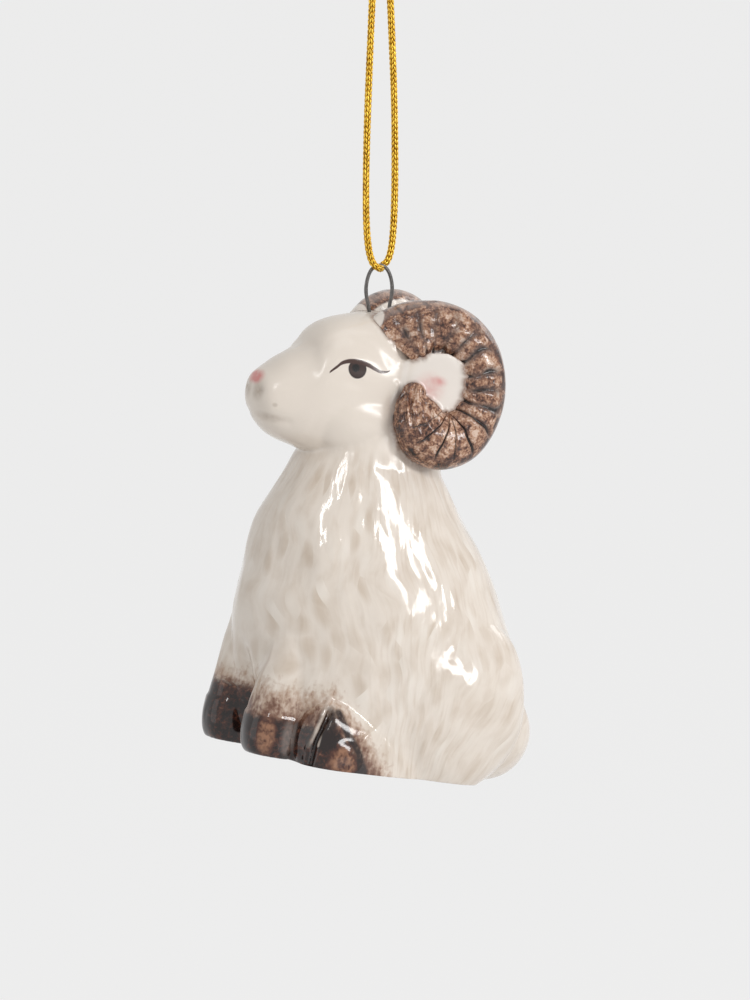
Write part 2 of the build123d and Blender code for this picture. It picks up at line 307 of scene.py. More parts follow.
class Nodes:
    """The nodes of a material or of the world."""

    def __init__(self, tree: bpy.types.NodeTree) -> None:
        """Starts with an empty tree."""
        self.tree = tree
        self.tree.nodes.clear()

    def node(self, kind: str, settings: dict, inputs: dict) -> bpy.types.Node:
        """Adds one node.

        Args:
            kind: The node's type.
            settings: Its own settings, with a ramp's stops or a curve's points among them.
            inputs: Values or links of its sockets, by name, identifier or number.

        Returns:
            The new node.
        """
        made = self.tree.nodes.new(kind)
        for key, value in settings.items():
            if key == "stops":
                self._set_stops(made.color_ramp, value)
            elif key == "points":
                self._set_points(made.mapping, value)
            else:
                setattr(made, key, value)
        for key, value in inputs.items():
            self.feed(self.find(made.inputs, key), value)
        return made

    def signals(self, kind: str, settings: dict, inputs: dict, *outputs: str | int) -> list[Signal]:
        """Adds one node and returns some of its outputs."""
        made = self.node(kind, settings, inputs)
        return [Signal(self, self.find(made.outputs, output)) for output in outputs]

    def signal(self, kind: str, settings: dict, inputs: dict, output: str | int = 0) -> Signal:
        """Adds one node and returns one of its outputs."""
        return self.signals(kind, settings, inputs, output)[0]

    @staticmethod
    def find(sockets: bpy.types.bpy_prop_collection, key: str | int) -> bpy.types.NodeSocket:
        """A socket by its number, its identifier or its name.

        Args:
            sockets: A node's inputs or outputs.
            key: The number, identifier or name.

        Returns:
            The socket.
        """
        if isinstance(key, int):
            return sockets[key]
        for socket in sockets:
            if socket.identifier == key:
                return socket
        return sockets[key]

    def feed(self, socket: bpy.types.NodeSocket, value: object) -> None:
        """Gives a socket a link or a value.

        Args:
            socket: The input.
            value: A signal, another node's socket or a plain value.
        """
        if isinstance(value, Signal):
            self.tree.links.new(value.socket, socket)
        elif isinstance(value, bpy.types.NodeSocket):
            self.tree.links.new(value, socket)
        else:
            socket.default_value = value

    @staticmethod
    def _set_stops(ramp: bpy.types.ColorRamp, stops: Sequence[tuple]) -> None:
        """Gives a ramp its stops, each a place and a colour.

        Args:
            ramp: The ramp.
            stops: Places from 0 to 1, with colours.
        """
        while len(ramp.elements) < len(stops):
            ramp.elements.new(1.0)
        for element, (place, colour) in zip(ramp.elements, stops):
            element.position = place
            element.color = colour

    @staticmethod
    def _set_points(mapping: bpy.types.CurveMapping, points: Sequence[tuple[float, float]]) -> None:
        """Gives a curve its points.

        Args:
            mapping: The curve.
            points: Places and values, from 0 to 1.
        """
        curve = mapping.curves[0]
        while len(curve.points) < len(points):
            curve.points.new(0.5, 0.5)
        for point, place in zip(curve.points, points):
            point.location = place
        mapping.update()


class Shader(Nodes):
    """One material with a Principled shader, and the nodes that feed it."""

    def __init__(self, name: str) -> None:
        """Starts the material.

        Args:
            name: What the material is called.
        """
        self.material = bpy.data.materials.new(name)
        self.material.use_nodes = True
        super().__init__(self.material.node_tree)
        self.surface = self.node("ShaderNodeBsdfPrincipled", {}, {})
        self.output = self.node("ShaderNodeOutputMaterial", {}, {"Surface": self.surface.outputs[0]})

    def attribute(self, name: str) -> Signal:
        """A number kept on the mesh's points."""
        return self.signal("ShaderNodeAttribute", {"attribute_name": name}, {}, "Fac")

    def vector(self, side: Signal | float, back: Signal | float, height: Signal | float) -> Signal:
        """Three numbers as one vector."""
        return self.signal("ShaderNodeCombineXYZ", {}, {"X": side, "Y": back, "Z": height})

    def noise(self, place: Signal, scale: float, detail: float = 2.0, warp: float = 0.0) -> Signal:
        """Soft noise about 0.5."""
        inputs = {"Vector": place, "Scale": scale, "Detail": detail, "Distortion": warp}
        return self.signal("ShaderNodeTexNoise", {}, inputs, "Fac")

    def mix(self, share: Signal | float, first: object, second: object) -> Signal:
        """A colour between two others."""
        inputs = {"Factor_Float": share, "A_Color": first, "B_Color": second}
        return self.signal("ShaderNodeMix", {"data_type": "RGBA"}, inputs, "Result_Color")

    def ramp(self, value: Signal, stops: Sequence[tuple]) -> Signal:
        """A colour read from a ramp."""
        return self.signal("ShaderNodeValToRGB", {"stops": stops}, {"Fac": value}, "Color")

    def bump(self, height: Signal, distance: float) -> Signal:
        """Relief whose full height is the distance, in metres."""
        inputs = {"Height": height, "Distance": distance, "Strength": 1.0}
        return self.signal("ShaderNodeBump", {}, inputs, "Normal")

    def finish(self, **sockets: object) -> bpy.types.Material:
        """Sets the Principled shader's sockets, named with underscores for spaces.

        Args:
            sockets: Values or links, by name.

        Returns:
            The material.
        """
        for name, value in sockets.items():
            self.feed(self.surface.inputs[name.replace("_", " ")], value)
        return self.material


@dataclass(frozen=True)
class RamSpace:
    """Places on the ram inside a shader, in upright millimetres: whole, and along each axis."""

    place: Signal
    side: Signal
    back: Signal
    height: Signal

    @classmethod
    def of(cls, shader: Shader, hanging: Hanging) -> "RamSpace":
        """Reads the piece's own coordinates and stands them upright.

        Args:
            shader: The material.
            hanging: How the ram hangs.

        Returns:
            The places.
        """
        own = shader.signal("ShaderNodeTexCoord", {}, {}, "Object")
        inputs = {
            "Vector": own,
            "Scale": (1 / MM, 1 / MM, 1 / MM),
            "Rotation": (math.radians(hanging.lean), 0, 0),
            "Location": hanging.shader_shift(),
        }
        upright = shader.signal("ShaderNodeMapping", {}, inputs)
        parts = shader.signals("ShaderNodeSeparateXYZ", {}, {"Vector": upright}, "X", "Y", "Z")
        return cls(upright, *parts)

    def spot(self, centre: tuple[float, float, float], reach: tuple[float, float, float]) -> Signal:
        """How far outside an ellipsoid, mirrored on both sides: 0 at its centre, 1 at its skin.

        Args:
            centre: The ellipsoid's middle, on the left side.
            reach: Its half sizes.

        Returns:
            The distance from the middle, in shares of the reach.
        """
        side = (abs(self.side) - centre[0]) / reach[0]
        back = (self.back - centre[1]) / reach[1]
        height = (self.height - centre[2]) / reach[2]
        return (side * side + back * back + height * height).root()

    def line(self, *route: tuple[float, float, float]) -> Signal:
        """The distance in millimetres from a line through a few points, mirrored on both sides.

        Args:
            route: The points, on the left side.

        Returns:
            The distance.
        """
        nearest = None
        for start, end in zip(route, route[1:]):
            run = [there - here for here, there in zip(start, end)]
            size = sum(part * part for part in run)
            off = (abs(self.side) - start[0], self.back - start[1], self.height - start[2])
            share = (off[0] * run[0] + off[1] * run[1] + off[2] * run[2]) / size
            share = share.above(0.0).below(1.0)
            gaps = [part - share * step for part, step in zip(off, run)]
            gap = gaps[0] * gaps[0] + gaps[1] * gaps[1] + gaps[2] * gaps[2]
            nearest = gap if nearest is None else nearest.below(gap)
        return nearest.root()


@dataclass(frozen=True)
class Touch:
    """One soft touch of the brush, mirrored on both sides of the ram.

    Attributes:
        colour: Its colour.
        centre: Its middle, in upright millimetres.
        reach: Its half sizes, in millimetres.
        soft: Where it starts and ends to fade, in shares of its reach.
        flecked: The part of its strength that breaks up into flecks.
        even: The part of its strength that doesn't.
        most: The most that it covers, 1 for all.
    """

    colour: tuple
    centre: tuple
    reach: tuple
    soft: tuple
    flecked: float
    even: float
    most: float = 1.0

    def over(self, shader: Shader, space: RamSpace, fleck: Signal, colour: Signal) -> Signal:
        """Brushes it over a colour.

        Args:
            shader: The material.
            space: Places on the ram.
            fleck: The noise that breaks it up.
            colour: The colour under it.

        Returns:
            The colour with the touch on it.
        """
        fade = 1 - space.spot(self.centre, self.reach).step(*self.soft)
        strength = fade * (fleck * self.flecked + self.even)
        return shader.mix(strength.below(self.most), colour, self.colour)


@dataclass(frozen=True)
class CreamGlaze:
    """Cream glaze over brushed fleece, with the painted eyes, nose, ears and hooves."""

    hanging: Hanging
    cream: tuple = paint(229, 219, 208)
    milk: tuple = paint(238, 231, 222)
    beige: tuple = paint(203, 187, 170)
    pink: tuple = paint(212, 128, 124)
    ear_white: tuple = paint(240, 233, 226)
    smudge: tuple = paint(182, 168, 154)
    seam_brown: tuple = paint(126, 88, 66)
    lid: tuple = paint(66, 42, 35)
    iris: tuple = paint(54, 36, 31)
    pupil: tuple = paint(8, 4, 4)
    hoof: tuple = paint(30, 16, 14)
    hoof_red: tuple = paint(78, 42, 30)
    hoof_worn: tuple = paint(150, 108, 82)
    # Grey painted on the hooves as a reflection on their dark glaze.
    painted_hoof_reflection: tuple = paint(150, 134, 126)
    # Pale colour painted as highlights along the edges of the near shin and the toes.
    painted_edge_highlight: tuple = paint(206, 192, 180)
    stipple: tuple = paint(112, 74, 56)
    stipple_thin: tuple = paint(176, 146, 124)
    neck_height: float = 46.0
    stroke_width: float = 1.7
    stroke_length: float = 4.6
    slant_height: float = 25.0
    slant_rate: float = 0.28
    sway: float = 5.0
    face_touches: tuple = (
        Touch(smudge, (1.7, -17.4, 53.4), (1.9, 2.6, 1.7), (0.1, 1.2), 0.9, 0.3),
        Touch(smudge, (3.1, -15.8, 49.8), (2.6, 3.6, 0.8), (0.1, 1.3), 0.8, 0.1),
        Touch(smudge, (4.6, -15.7, 51.85), (0.5, 0.5, 0.4), (0.3, 1.2), 0.0, 0.5),
        Touch(pink, (0.5, -17.6, 55.4), (1.9, 2.4, 1.25), (0.30, 1.15), 1.0, 0.45, 0.9),
    )
    # Where a highlight is painted as a pale line along the cheek's rear edge.
    cheek_line: tuple = (
        (8.0, 3.0, 61.1),
        (8.0, 3.0, 58.6),
        (7.9, 1.9, 55.3),
        (8.4, 2.5, 51.3),
        (9.0, 3.0, 48.9),
    )
    ear_touches: tuple = (
        Touch(ear_white, (10.4, 7.6, 59.4), (3.4, 6.0, 5.4), (0.7, 1.1), 0.0, 0.9),
        Touch(pink, (9.5, 6.6, 58.0), (2.4, 2.8, 2.8), (0.1, 1.15), 0.5, 0.15),
        Touch(pink, (9.8, 7.9, 59.3), (1.6, 1.5, 0.9), (0.0, 1.2), 0.7, 0.25),
    )
    stain_height: float = 11.2
    stain_front: float = -1.0
    stain_slope: float = 1.05
    dry_coats: tuple = (
        (stipple_thin, -0.30, 0.75, 0.8),
        (stipple, 0.50, 1.30, 0.9),
        (hoof_red, 1.15, 1.85, 0.9),
    )
    hoof_stops: tuple = ((0.15, hoof), (0.46, hoof_red), (0.90, hoof_worn))
    worn_spots: tuple = (
        ((9.7, -10.0, 3.4), (1.5, 1.7, 4.2), 0.52),
        ((6.4, -11.8, 4.0), (1.6, 1.4, 4.0), -0.30),
        ((12.3, -5.4, 4.4), (1.3, 1.2, 2.9), 0.14),
        ((16.5, 0.4, 1.6), (1.9, 2.9, 3.2), 0.50),
    )
    # Where the grey reflection is painted on the hooves.
    hoof_reflection_spot: tuple = ((10.9, -6.6, 3.8), (0.8, 1.3, 4.6))
    cleft_spot: tuple = ((14.8, -2.7, 6.2), (1.7, 1.9, 4.4))
    cleft_line: tuple = ((14.6, -1.2, 8.4), (15.9, 0.4, 5.6), (16.2, 2.6, 3.0), (16.0, 4.0, 0.4))
    # Where a pale highlight is painted down the near foreleg's inner front edge.
    shin_line: tuple = (
        (4.4, -11.4, 0.6),
        (4.5, -11.3, 7.0),
        (6.0, -11.3, 10.2),
        (7.6, -10.9, 14.2),
        (7.7, -10.7, 17.1),
    )
    # Where pale highlights are painted along the toes' edges, with how soft each is.
    toe_highlight_lines: tuple = (
        (((13.05, -2.18, 10.36), (14.05, -3.4, 7.8), (14.1, -4.0, 5.6), (13.61, -4.62, 2.72)), 0.22, 0.46),
        (((14.8, -3.19, 6.9), (14.85, -3.7, 5.18), (14.95, -3.89, 3.35)), 0.20, 0.50),
    )
    eye_back: float = -4.74
    eye_height: float = 59.19
    iris_reach: float = 1.46
    pupil_offset: tuple = (-0.30, 0.12)
    pupil_fade: tuple = (0.45, 0.72)
    lid_from: float = -4.4
    lid_to: float = 5.8
    lid_rise: float = 1.5
    lid_line: tuple = (
        (-4.10, -1.10),
        (-3.16, -0.19),
        (-2.04, 0.73),
        (-0.98, 1.04),
        (0.29, 1.08),
        (1.61, 0.83),
        (2.82, 0.40),
        (4.03, 0.12),
        (5.52, 0.61),
    )

    def material(self) -> bpy.types.Material:
        """The finished glaze.

        Returns:
            The material.
        """
        shader = Shader("cream_glaze")
        space = RamSpace.of(shader, self.hanging)
        wool = 1 - space.height.step(self.neck_height - 2, self.neck_height + 3)
        colour, relief = self.fleece(shader, space, wool)
        colour = self.face(shader, space, colour)
        colour = self.ears(shader, space, colour)
        colour = self.hooves(shader, space, colour)
        halo = shader.attribute("halo")
        fleck = shader.noise(space.place, 2.4, 3.0)
        colour = shader.mix((halo * (fleck + 0.35)).below(0.85), colour, self.seam_brown)
        colour = self.eye(shader, space, colour)
        return shader.finish(
            Base_Color=colour,
            Roughness=0.22 - wool * 0.12,
            IOR=1.52,
            Normal=relief,
        )

    def fleece(self, shader: Shader, space: RamSpace, wool: Signal) -> tuple[Signal, Signal]:
        """Lens-shaped brush strokes and fine hair lines that fan out down the body.

        Args:
            shader: The material.
            space: Places on the ram.
            wool: 1 on the fleece, 0 on the smooth head.

        Returns:
            The colour and the relief.
        """
        axis = FLEECE_RADIUS - space.height * FLEECE_LEAN
        bearing = abs(space.side).bearing(axis - space.back)
        chest = 1 - bearing.step(0.9, 1.5)
        slant = (self.slant_height - space.height).above(0.0) * bearing.step(1.2, 2.0) * self.slant_rate
        sway = shader.noise(space.place, 0.09, 1.0)
        run = bearing * FLEECE_RADIUS + slant + sway * self.sway
        cells = shader.vector(run / self.stroke_width, space.height / self.stroke_length, 0.0)
        distance, tint = shader.signals(
            "ShaderNodeTexVoronoi",
            {"voronoi_dimensions": "2D"},
            {"Vector": cells, "Scale": 1.0},
            "Distance",
            "Color",
        )
        lens = 1 - distance.step(0.10, 0.62)
        chance = shader.signal("ShaderNodeSeparateColor", {}, {"Color": tint}, "Red")
        hair = shader.noise(shader.vector(run * 1.9, space.height * 0.16, 0.0), 1.0, 3.0)
        cloud = shader.noise(shader.vector(run * 0.5, space.height * 0.22, 2.0), 1.0, 3.0)
        shade = lens * chance.step(0.35, 0.9) * (chest * 0.25 + 0.42)
        shade = shade + hair.step(0.46, 0.70) * (0.30 - chest * 0.14)
        shade = (shade + cloud.step(0.42, 0.68) * 0.34) * wool
        light = lens * (1 - chance).step(0.55, 0.95) * wool * 0.5
        colour = shader.mix(shade.below(0.9), self.cream, self.beige)
        colour = shader.mix(light, colour, self.milk)
        lumps = shader.noise(shader.vector(run * 0.30, space.height * 0.13, 5.0), 1.0, 1.0)
        height = (lens * 0.035 + hair * 0.015 + lumps * 0.16) * wool
        soft = shader.noise(space.place, 0.35, 1.0)
        return colour, shader.bump(height + soft * 0.04, MM)

    def face(self, shader: Shader, space: RamSpace, colour: Signal) -> Signal:
        """The pink nose, the smudged nostrils, the corners of the mouth, and a highlight painted as a pale
        line along the cheek's rear edge.

        Args:
            shader: The material.
            space: Places on the ram.
            colour: The colour under it.

        Returns:
            The colour with the face on it.
        """
        fleck = shader.noise(space.place, 1.1, 3.0)
        for touch in self.face_touches:
            colour = touch.over(shader, space, fleck, colour)
        # The highlight painted as a pale line along the cheek's rear edge.
        cheek = 1 - space.line(*self.cheek_line).step(0.15, 0.75)
        return shader.mix(cheek * 0.7, colour, self.ear_white)

    def ears(self, shader: Shader, space: RamSpace, colour: Signal) -> Signal:
        """White ears with a pink blush inside each, strongest in one spot.

        Args:
            shader: The material.
            space: Places on the ram.
            colour: The colour under it.

        Returns:
            The colour with the ears on it.
        """
        fleck = shader.noise(space.place, 1.3, 3.0)
        for touch in self.ear_touches:
            colour = touch.over(shader, space, fleck, colour)
        return colour

    def hooves(self, shader: Shader, space: RamSpace, colour: Signal) -> Signal:
        """Dark glossy hooves, and brown brushed thinly over the fleece above them, with pale highlights
        painted along the shin's and the toes' edges.

        Args:
            shader: The material.
            space: Places on the ram.
            colour: The colour under it.

        Returns:
            The colour with the hooves on it.
        """
        near = space.side.step(-1.0, 1.0)
        top = self.stain_height - (space.back - self.stain_front).above(0.0) * self.stain_slope
        edge = top - space.height
        grain = shader.noise(space.place, 1.5, 5.0, 0.5)
        dragged = shader.vector(space.side * 1.5, space.back * 1.5, space.height * 0.5)
        drag = shader.noise(dragged, 1.0, 4.0)
        blots = shader.noise(space.place, 0.42, 3.0)
        dry = edge * 0.28 + (drag - 0.5) * 1.6 + (grain - 0.5) * 1.4 + (blots - 0.5) * 1.8
        for coat, low, high, most in self.dry_coats:
            colour = shader.mix(dry.step(low, high) * most, colour, coat)
        solid = ((edge - 1.4 - near * 3.4) * 0.8 + (grain - 0.5) * 1.5).step(0.0, 1.1)
        rim = 1 - abs(edge - 2.4 - near * 3.2).step(0.2, 1.0)
        cleft = 1 - space.spot(*self.cleft_spot).step(0.5, 1.1)
        dark = cleft.above(1 - space.line(*self.cleft_line).step(0.35, 0.95))
        colour = shader.mix(dark * (grain * 0.6 + 0.6).below(1.0), colour, self.hoof)
        tone = (blots - 0.5) * 0.8 + (grain - 0.5) * 1.6 + 0.22
        tone = tone - rim * (near * 0.45 - 0.20) - dark * 0.6
        colour = shader.mix(solid, colour, self.hoof_stain(shader, space, tone, grain))
        # Pale highlights painted along the near shin's edge and along the toes' edges.
        edges = (1 - space.line(*self.shin_line).step(0.15, 0.50)) * near
        for route, low, high in self.toe_highlight_lines:
            edges = edges.above(1 - space.line(*route).step(low, high))
        return shader.mix(edges * 0.8, colour, self.painted_edge_highlight)

    def hoof_stain(self, shader: Shader, space: RamSpace, tone: Signal, grain: Signal) -> Signal:
        """The stain on the hooves, worn brown in some spots, with a grey reflection painted in one.

        Args:
            shader: The material.
            space: Places on the ram.
            tone: How thin the stain is, 0 for thick.
            grain: The noise that makes the spots' edges ragged.

        Returns:
            The colour of the stain.
        """
        for centre, reach, lift in self.worn_spots:
            ragged = space.spot(centre, reach) + (grain - 0.5) * 0.6
            tone = tone + (1 - ragged.step(0.55, 1.1)) * lift
        stain = shader.ramp(tone, self.hoof_stops)
        # A grey reflection painted in one spot, broken up by the grain.
        wiped = 1 - (space.spot(*self.hoof_reflection_spot) + (grain - 0.5) * 0.4).step(0.5, 1.1)
        return shader.mix(wiped * (grain * 0.6 + 0.15), stain, self.painted_hoof_reflection)

    def eye(self, shader: Shader, space: RamSpace, colour: Signal) -> Signal:
        """The painted eye: an iris under one tapering lid line, on both sides.

        Args:
            shader: The material.
            space: Places on the ram.
            colour: The colour under it.

        Returns:
            The colour with the eyes on it.
        """
        across = space.back - self.eye_back
        rise = space.height - self.eye_height
        span = self.lid_to - self.lid_from
        points = []
        for place, lift in self.lid_line:
            points.append(((place - self.lid_from) / span, 0.5 + lift / (2 * self.lid_rise)))
        share = (across - self.lid_from) / span
        curve = shader.signal("ShaderNodeFloatCurve", {"points": points}, {"Value": share})
        lid_rise = (curve - 0.5) * (2 * self.lid_rise)
        half = (1 - (across - 0.2) * (across - 0.2) / 30.0).above(0.0) * 0.29 + 0.06
        inside = across.step(-4.25, -4.0) * (1 - across.step(5.3, 5.6))
        line = (1 - (abs(rise - lid_rise) / half).step(0.75, 1.25)) * inside
        on_head = space.height.step(55.0, 56.0) * (1 - space.back.step(2.0, 2.6))
        off_iris = (across * across + rise * rise).root() / self.iris_reach
        iris = (1 - off_iris.step(0.92, 1.04)) * (1 - (rise - lid_rise).step(-0.05, 0.1)) * on_head
        aside = across - self.pupil_offset[0]
        lift = rise - self.pupil_offset[1]
        pupil = 1 - (aside * aside + lift * lift).root().step(*self.pupil_fade)
        fleck = shader.noise(shader.vector(0.0, space.back, space.height), 2.6, 2.0)
        depth = pupil + off_iris.step(0.70, 1.0) * 0.55 + fleck.step(0.5, 0.7) * 0.2
        stain = shader.mix(depth.below(1.0), self.iris, self.pupil)
        colour = shader.mix(iris, colour, stain)
        return shader.mix(line * on_head, colour, self.lid)


@dataclass(frozen=True)
class HornGlaze:
    """Brown wash in the grooves of the horns, wiped thin on the ribs, under clear glaze, with a pale
    reflection painted along the outer rim.
    """

    hanging: Hanging
    black: tuple = paint(30, 17, 14)
    dark: tuple = paint(78, 48, 38)
    brown: tuple = paint(128, 88, 68)
    tan: tuple = paint(180, 138, 110)
    pale: tuple = paint(216, 190, 172)
    stripe: tuple = paint(84, 68, 64)
    bead: tuple = paint(58, 30, 22)
    # Pale grey painted along the horns' outer rim as a reflection.
    rim: tuple = paint(192, 175, 167)
    cream: tuple = paint(232, 223, 214)
    stops: tuple = ((0.08, black), (0.28, dark), (0.47, brown), (0.66, tan), (0.90, pale))
    bare_spot: tuple = ((3.0, -1.6, 66.6), (2.6, 2.2, 2.2))

    def material(self) -> bpy.types.Material:
        """The finished glaze.

        Returns:
            The material.
        """
        shader = Shader("horn_glaze")
        space = RamSpace.of(shader, self.hanging)
        along = shader.attribute("along")
        outward = shader.attribute("outward")
        sideways = shader.attribute("sideways")
        progress = shader.attribute("progress")
        clouds = shader.noise(space.place, 0.34, 3.0, 0.8)
        blots = shader.noise(space.place, 0.95, 5.0, 0.7)
        fine = shader.noise(space.place, 3.2, 3.0, 0.3)
        streaks = shader.noise(shader.vector(along * 1.1, outward * 7.0, sideways * 7.0), 1.0, 3.0)
        tone = (clouds - 0.5) * 0.9 + (blots - 0.5) * 1.4 + (fine - 0.5) * 0.9 + 0.56
        tone = tone + (streaks - 0.5) * 0.6 - outward.step(0.45, 0.75) * 0.12
        colour = shader.ramp(tone, self.stops)
        high = 1 - progress.step(0.50, 0.62)
        wash = shader.attribute("stripe") * (high * 0.75 + 0.35)
        colour = shader.mix(wash.below(0.9), colour, self.stripe)
        groove = shader.attribute("groove")
        core = (groove * 1.3 + (blots - 0.5) * 1.2 * high - high * 0.45).step(0.15, 0.75)
        colour = shader.mix(core, colour, self.black)
        rib = abs((along + 0.5).fraction() - 0.5)
        beads = outward.step(0.50, 0.60) * (1 - outward.step(0.76, 0.86)) * rib.step(0.12, 0.30)
        beads = beads * progress.step(0.22, 0.36) * (1 - progress.step(0.66, 0.74))
        colour = shader.mix(beads * blots.step(0.36, 0.56), colour, self.bead)
        # A reflection painted along the outer rim, fading out before the tip.
        rim = outward.step(0.74, 0.92) * (1 - progress.step(0.55, 0.70))
        rim = rim * (progress.step(0.10, 0.40) * 0.4 + 0.45)
        colour = shader.mix(rim * clouds.step(0.25, 0.5), colour, self.rim)
        bare = (1 - sideways.step(-0.55, -0.1)) * (1 - outward.step(0.50, 0.80))
        bare = bare * (1 - progress.step(0.28, 0.50))
        bare = bare.above(1 - space.spot(*self.bare_spot).step(0.7, 1.1))
        bare = (bare * 1.3 + (blots - 0.5) * 0.6).step(0.30, 0.90)
        colour = shader.mix(bare, colour, self.cream)
        height = (blots - 0.5) * 0.06 + (clouds - 0.5) * 0.12 + (streaks - 0.5) * 0.04
        return shader.finish(
            Base_Color=colour,
            Roughness=0.07,
            IOR=1.52,
            Normal=shader.bump(height, MM),
        )


@dataclass(frozen=True)
class DarkWire:
    """Steel wire darkened in the kiln."""

    hanging: Hanging
    stops: tuple = ((0.30, paint(82, 80, 79)), (0.60, paint(112, 109, 107)), (0.80, paint(150, 146, 143)))

    def material(self) -> bpy.types.Material:
        """The finished metal.

        Returns:
            The material.
        """
        shader = Shader("dark_wire")
        space = RamSpace.of(shader, self.hanging)
        place = shader.vector(space.side * 3.0, space.back * 3.0, space.height)
        scale = shader.noise(place, 1.4, 4.0)
        colour = shader.ramp(scale, self.stops)
        return shader.finish(
            Base_Color=colour,
            Metallic=0.85,
            Roughness=scale * 0.2 + 0.25,
            Normal=shader.bump(scale, 0.02 * MM),
        )


@dataclass(frozen=True)
class GoldThread:
    """Metallic thread, with a highlight painted on top of each stitch and shade painted between the
    stitches.
    """

    # Painted shade between the stitches, the gold, and a painted highlight on top of each stitch.
    deep: tuple = paint(58, 38, 4)
    gold: tuple = paint(190, 134, 16)
    glint: tuple = paint(250, 212, 84)
    stops: tuple = ((0.36, deep), (0.68, gold), (1.0, glint))

    def material(self) -> bpy.types.Material:
        """The finished thread.

        Returns:
            The material.
        """
        shader = Shader("gold_thread")
        proud = shader.attribute("proud")
        own = shader.signal("ShaderNodeTexCoord", {}, {}, "Object")
        fibre = shader.noise(own, 5200.0, 2.0)
        patch = shader.noise(own, 900.0, 1.0)
        # Painted highlight and shade: the further each point of the thread stands out, the lighter it is.
        tone = proud * 1.05 + (fibre - 0.5) * 0.3 + (patch - 0.5) * 0.5
        colour = shader.ramp(tone, self.stops)
        return shader.finish(
            Base_Color=colour,
            Metallic=0.75,
            Roughness=0.38,
            Normal=shader.bump(fibre, 0.03 * MM),
        )


def mesh_object(name: str, points: np.ndarray, faces: Sequence[Sequence[int]]) -> bpy.types.Object:
    """A smooth-shaded object from points in metres and faces.

    Args:
        name: What it is called.
        points: Its points, in metres.
        faces: Its faces.

    Returns:
        The object.
    """
    mesh = bpy.data.meshes.new(name)
    mesh.from_pydata(points.tolist(), [], faces)
    mesh.update()
    mesh.shade_smooth()
    made = bpy.data.objects.new(name, mesh)
    bpy.context.scene.collection.objects.link(made)
    return made


def keep_number(mesh: bpy.types.Mesh, name: str, values: np.ndarray) -> None:
    """Keeps one number for each point of a mesh, for its material to read."""
    layer = mesh.attributes.new(name, "FLOAT", "POINT")
    layer.data.foreach_set("value", np.ascontiguousarray(values, np.float32))


def mesh_points(mesh: bpy.types.Mesh) -> np.ndarray:
    """The points of a mesh as an array.

    Args:
        mesh: The mesh.

    Returns:
        Its points in three columns.
    """
    flat = np.empty(len(mesh.vertices) * 3)
    mesh.vertices.foreach_get("co", flat)
    return flat.reshape(-1, 3)


def mesh_normals(mesh: bpy.types.Mesh) -> np.ndarray:
    """The normals at the points of a mesh as an array.

    Args:
        mesh: The mesh.

    Returns:
        Its normals in three columns.
    """
    flat = np.empty(len(mesh.vertices) * 3)
    mesh.vertex_normals.foreach_get("vector", flat)
    return flat.reshape(-1, 3)


def mesh_tree(mesh: bpy.types.Mesh) -> BVHTree:
    """A mesh as a tree, for finding the nearest place on it."""
    places = [vertex.co for vertex in mesh.vertices]
    return BVHTree.FromPolygons(places, [face.vertices for face in mesh.polygons])


def closed_faces(rings: int, sides: int, first: int = 0) -> list[tuple[int, ...]]:
    """Quads between closed rings of points, with a cap on the first ring and on the last.

    Args:
        rings: How many rings there are.
        sides: How many points each ring has.
        first: The number of the first point.

    Returns:
        The faces.
    """
    faces = []
    for ring in range(rings - 1):
        start = first + ring * sides
        for side in range(sides):
            after = (side + 1) % sides
            faces.append((start + side, start + after, start + sides + after, start + sides + side))
    faces.append(tuple(range(first + sides - 1, first - 1, -1)))
    last = first + (rings - 1) * sides
    faces.append(tuple(range(last, last + sides)))
    return faces


def unit(rows: np.ndarray) -> np.ndarray:
    """Vectors brought to a length of 1."""
    return rows / np.linalg.norm(rows, axis=-1, keepdims=True)


def run_along(points: np.ndarray) -> np.ndarray:
    """How far along a line each of its points lies."""
    lengths = np.linalg.norm(np.diff(points, axis=0), axis=1)
    return np.concatenate(([0.0], np.cumsum(lengths)))


@dataclass
class Path:
    """A line through space with a steady frame at each of its points."""

    points: np.ndarray
    forward: np.ndarray = field(init=False)
    across: np.ndarray = field(init=False)
    over: np.ndarray = field(init=False)
    run: np.ndarray = field(init=False)

    def __post_init__(self) -> None:
        """Works out the frames, carried along without twist."""
        self.forward = unit(np.gradient(self.points, axis=0))
        self.run = run_along(self.points)
        self.across = np.empty_like(self.points)
        start = np.cross(self.forward[0], (0.0, 0.0, 1.0))
        if np.linalg.norm(start) < 1e-3:
            start = np.array((1.0, 0.0, 0.0))
        for index, forward in enumerate(self.forward):
            start = unit(start - forward * np.dot(start, forward))
            self.across[index] = start
        self.over = np.cross(self.forward, self.across)

    def shifted(self, across: np.ndarray, over: np.ndarray) -> np.ndarray:
        """Points beside the line."""
        return self.points + self.across * across[:, None] + self.over * over[:, None]


def tube(path: Path, radii: np.ndarray, sides: int, first: int = 0) -> tuple[np.ndarray, list]:
    """A closed tube round a path.

    Args:
        path: The line that it follows.
        radii: Its radius at each point of the line.
        sides: How many sides it has.
        first: The number of its first point.

    Returns:
        The points and the faces.
    """
    rings = []
    for side in range(sides):
        turn = 2 * math.pi * side / sides
        rings.append(path.shifted(radii * math.cos(turn), radii * math.sin(turn)))
    points = np.stack(rings, axis=1).reshape(-1, 3)
    return points, closed_faces(len(radii), sides, first)


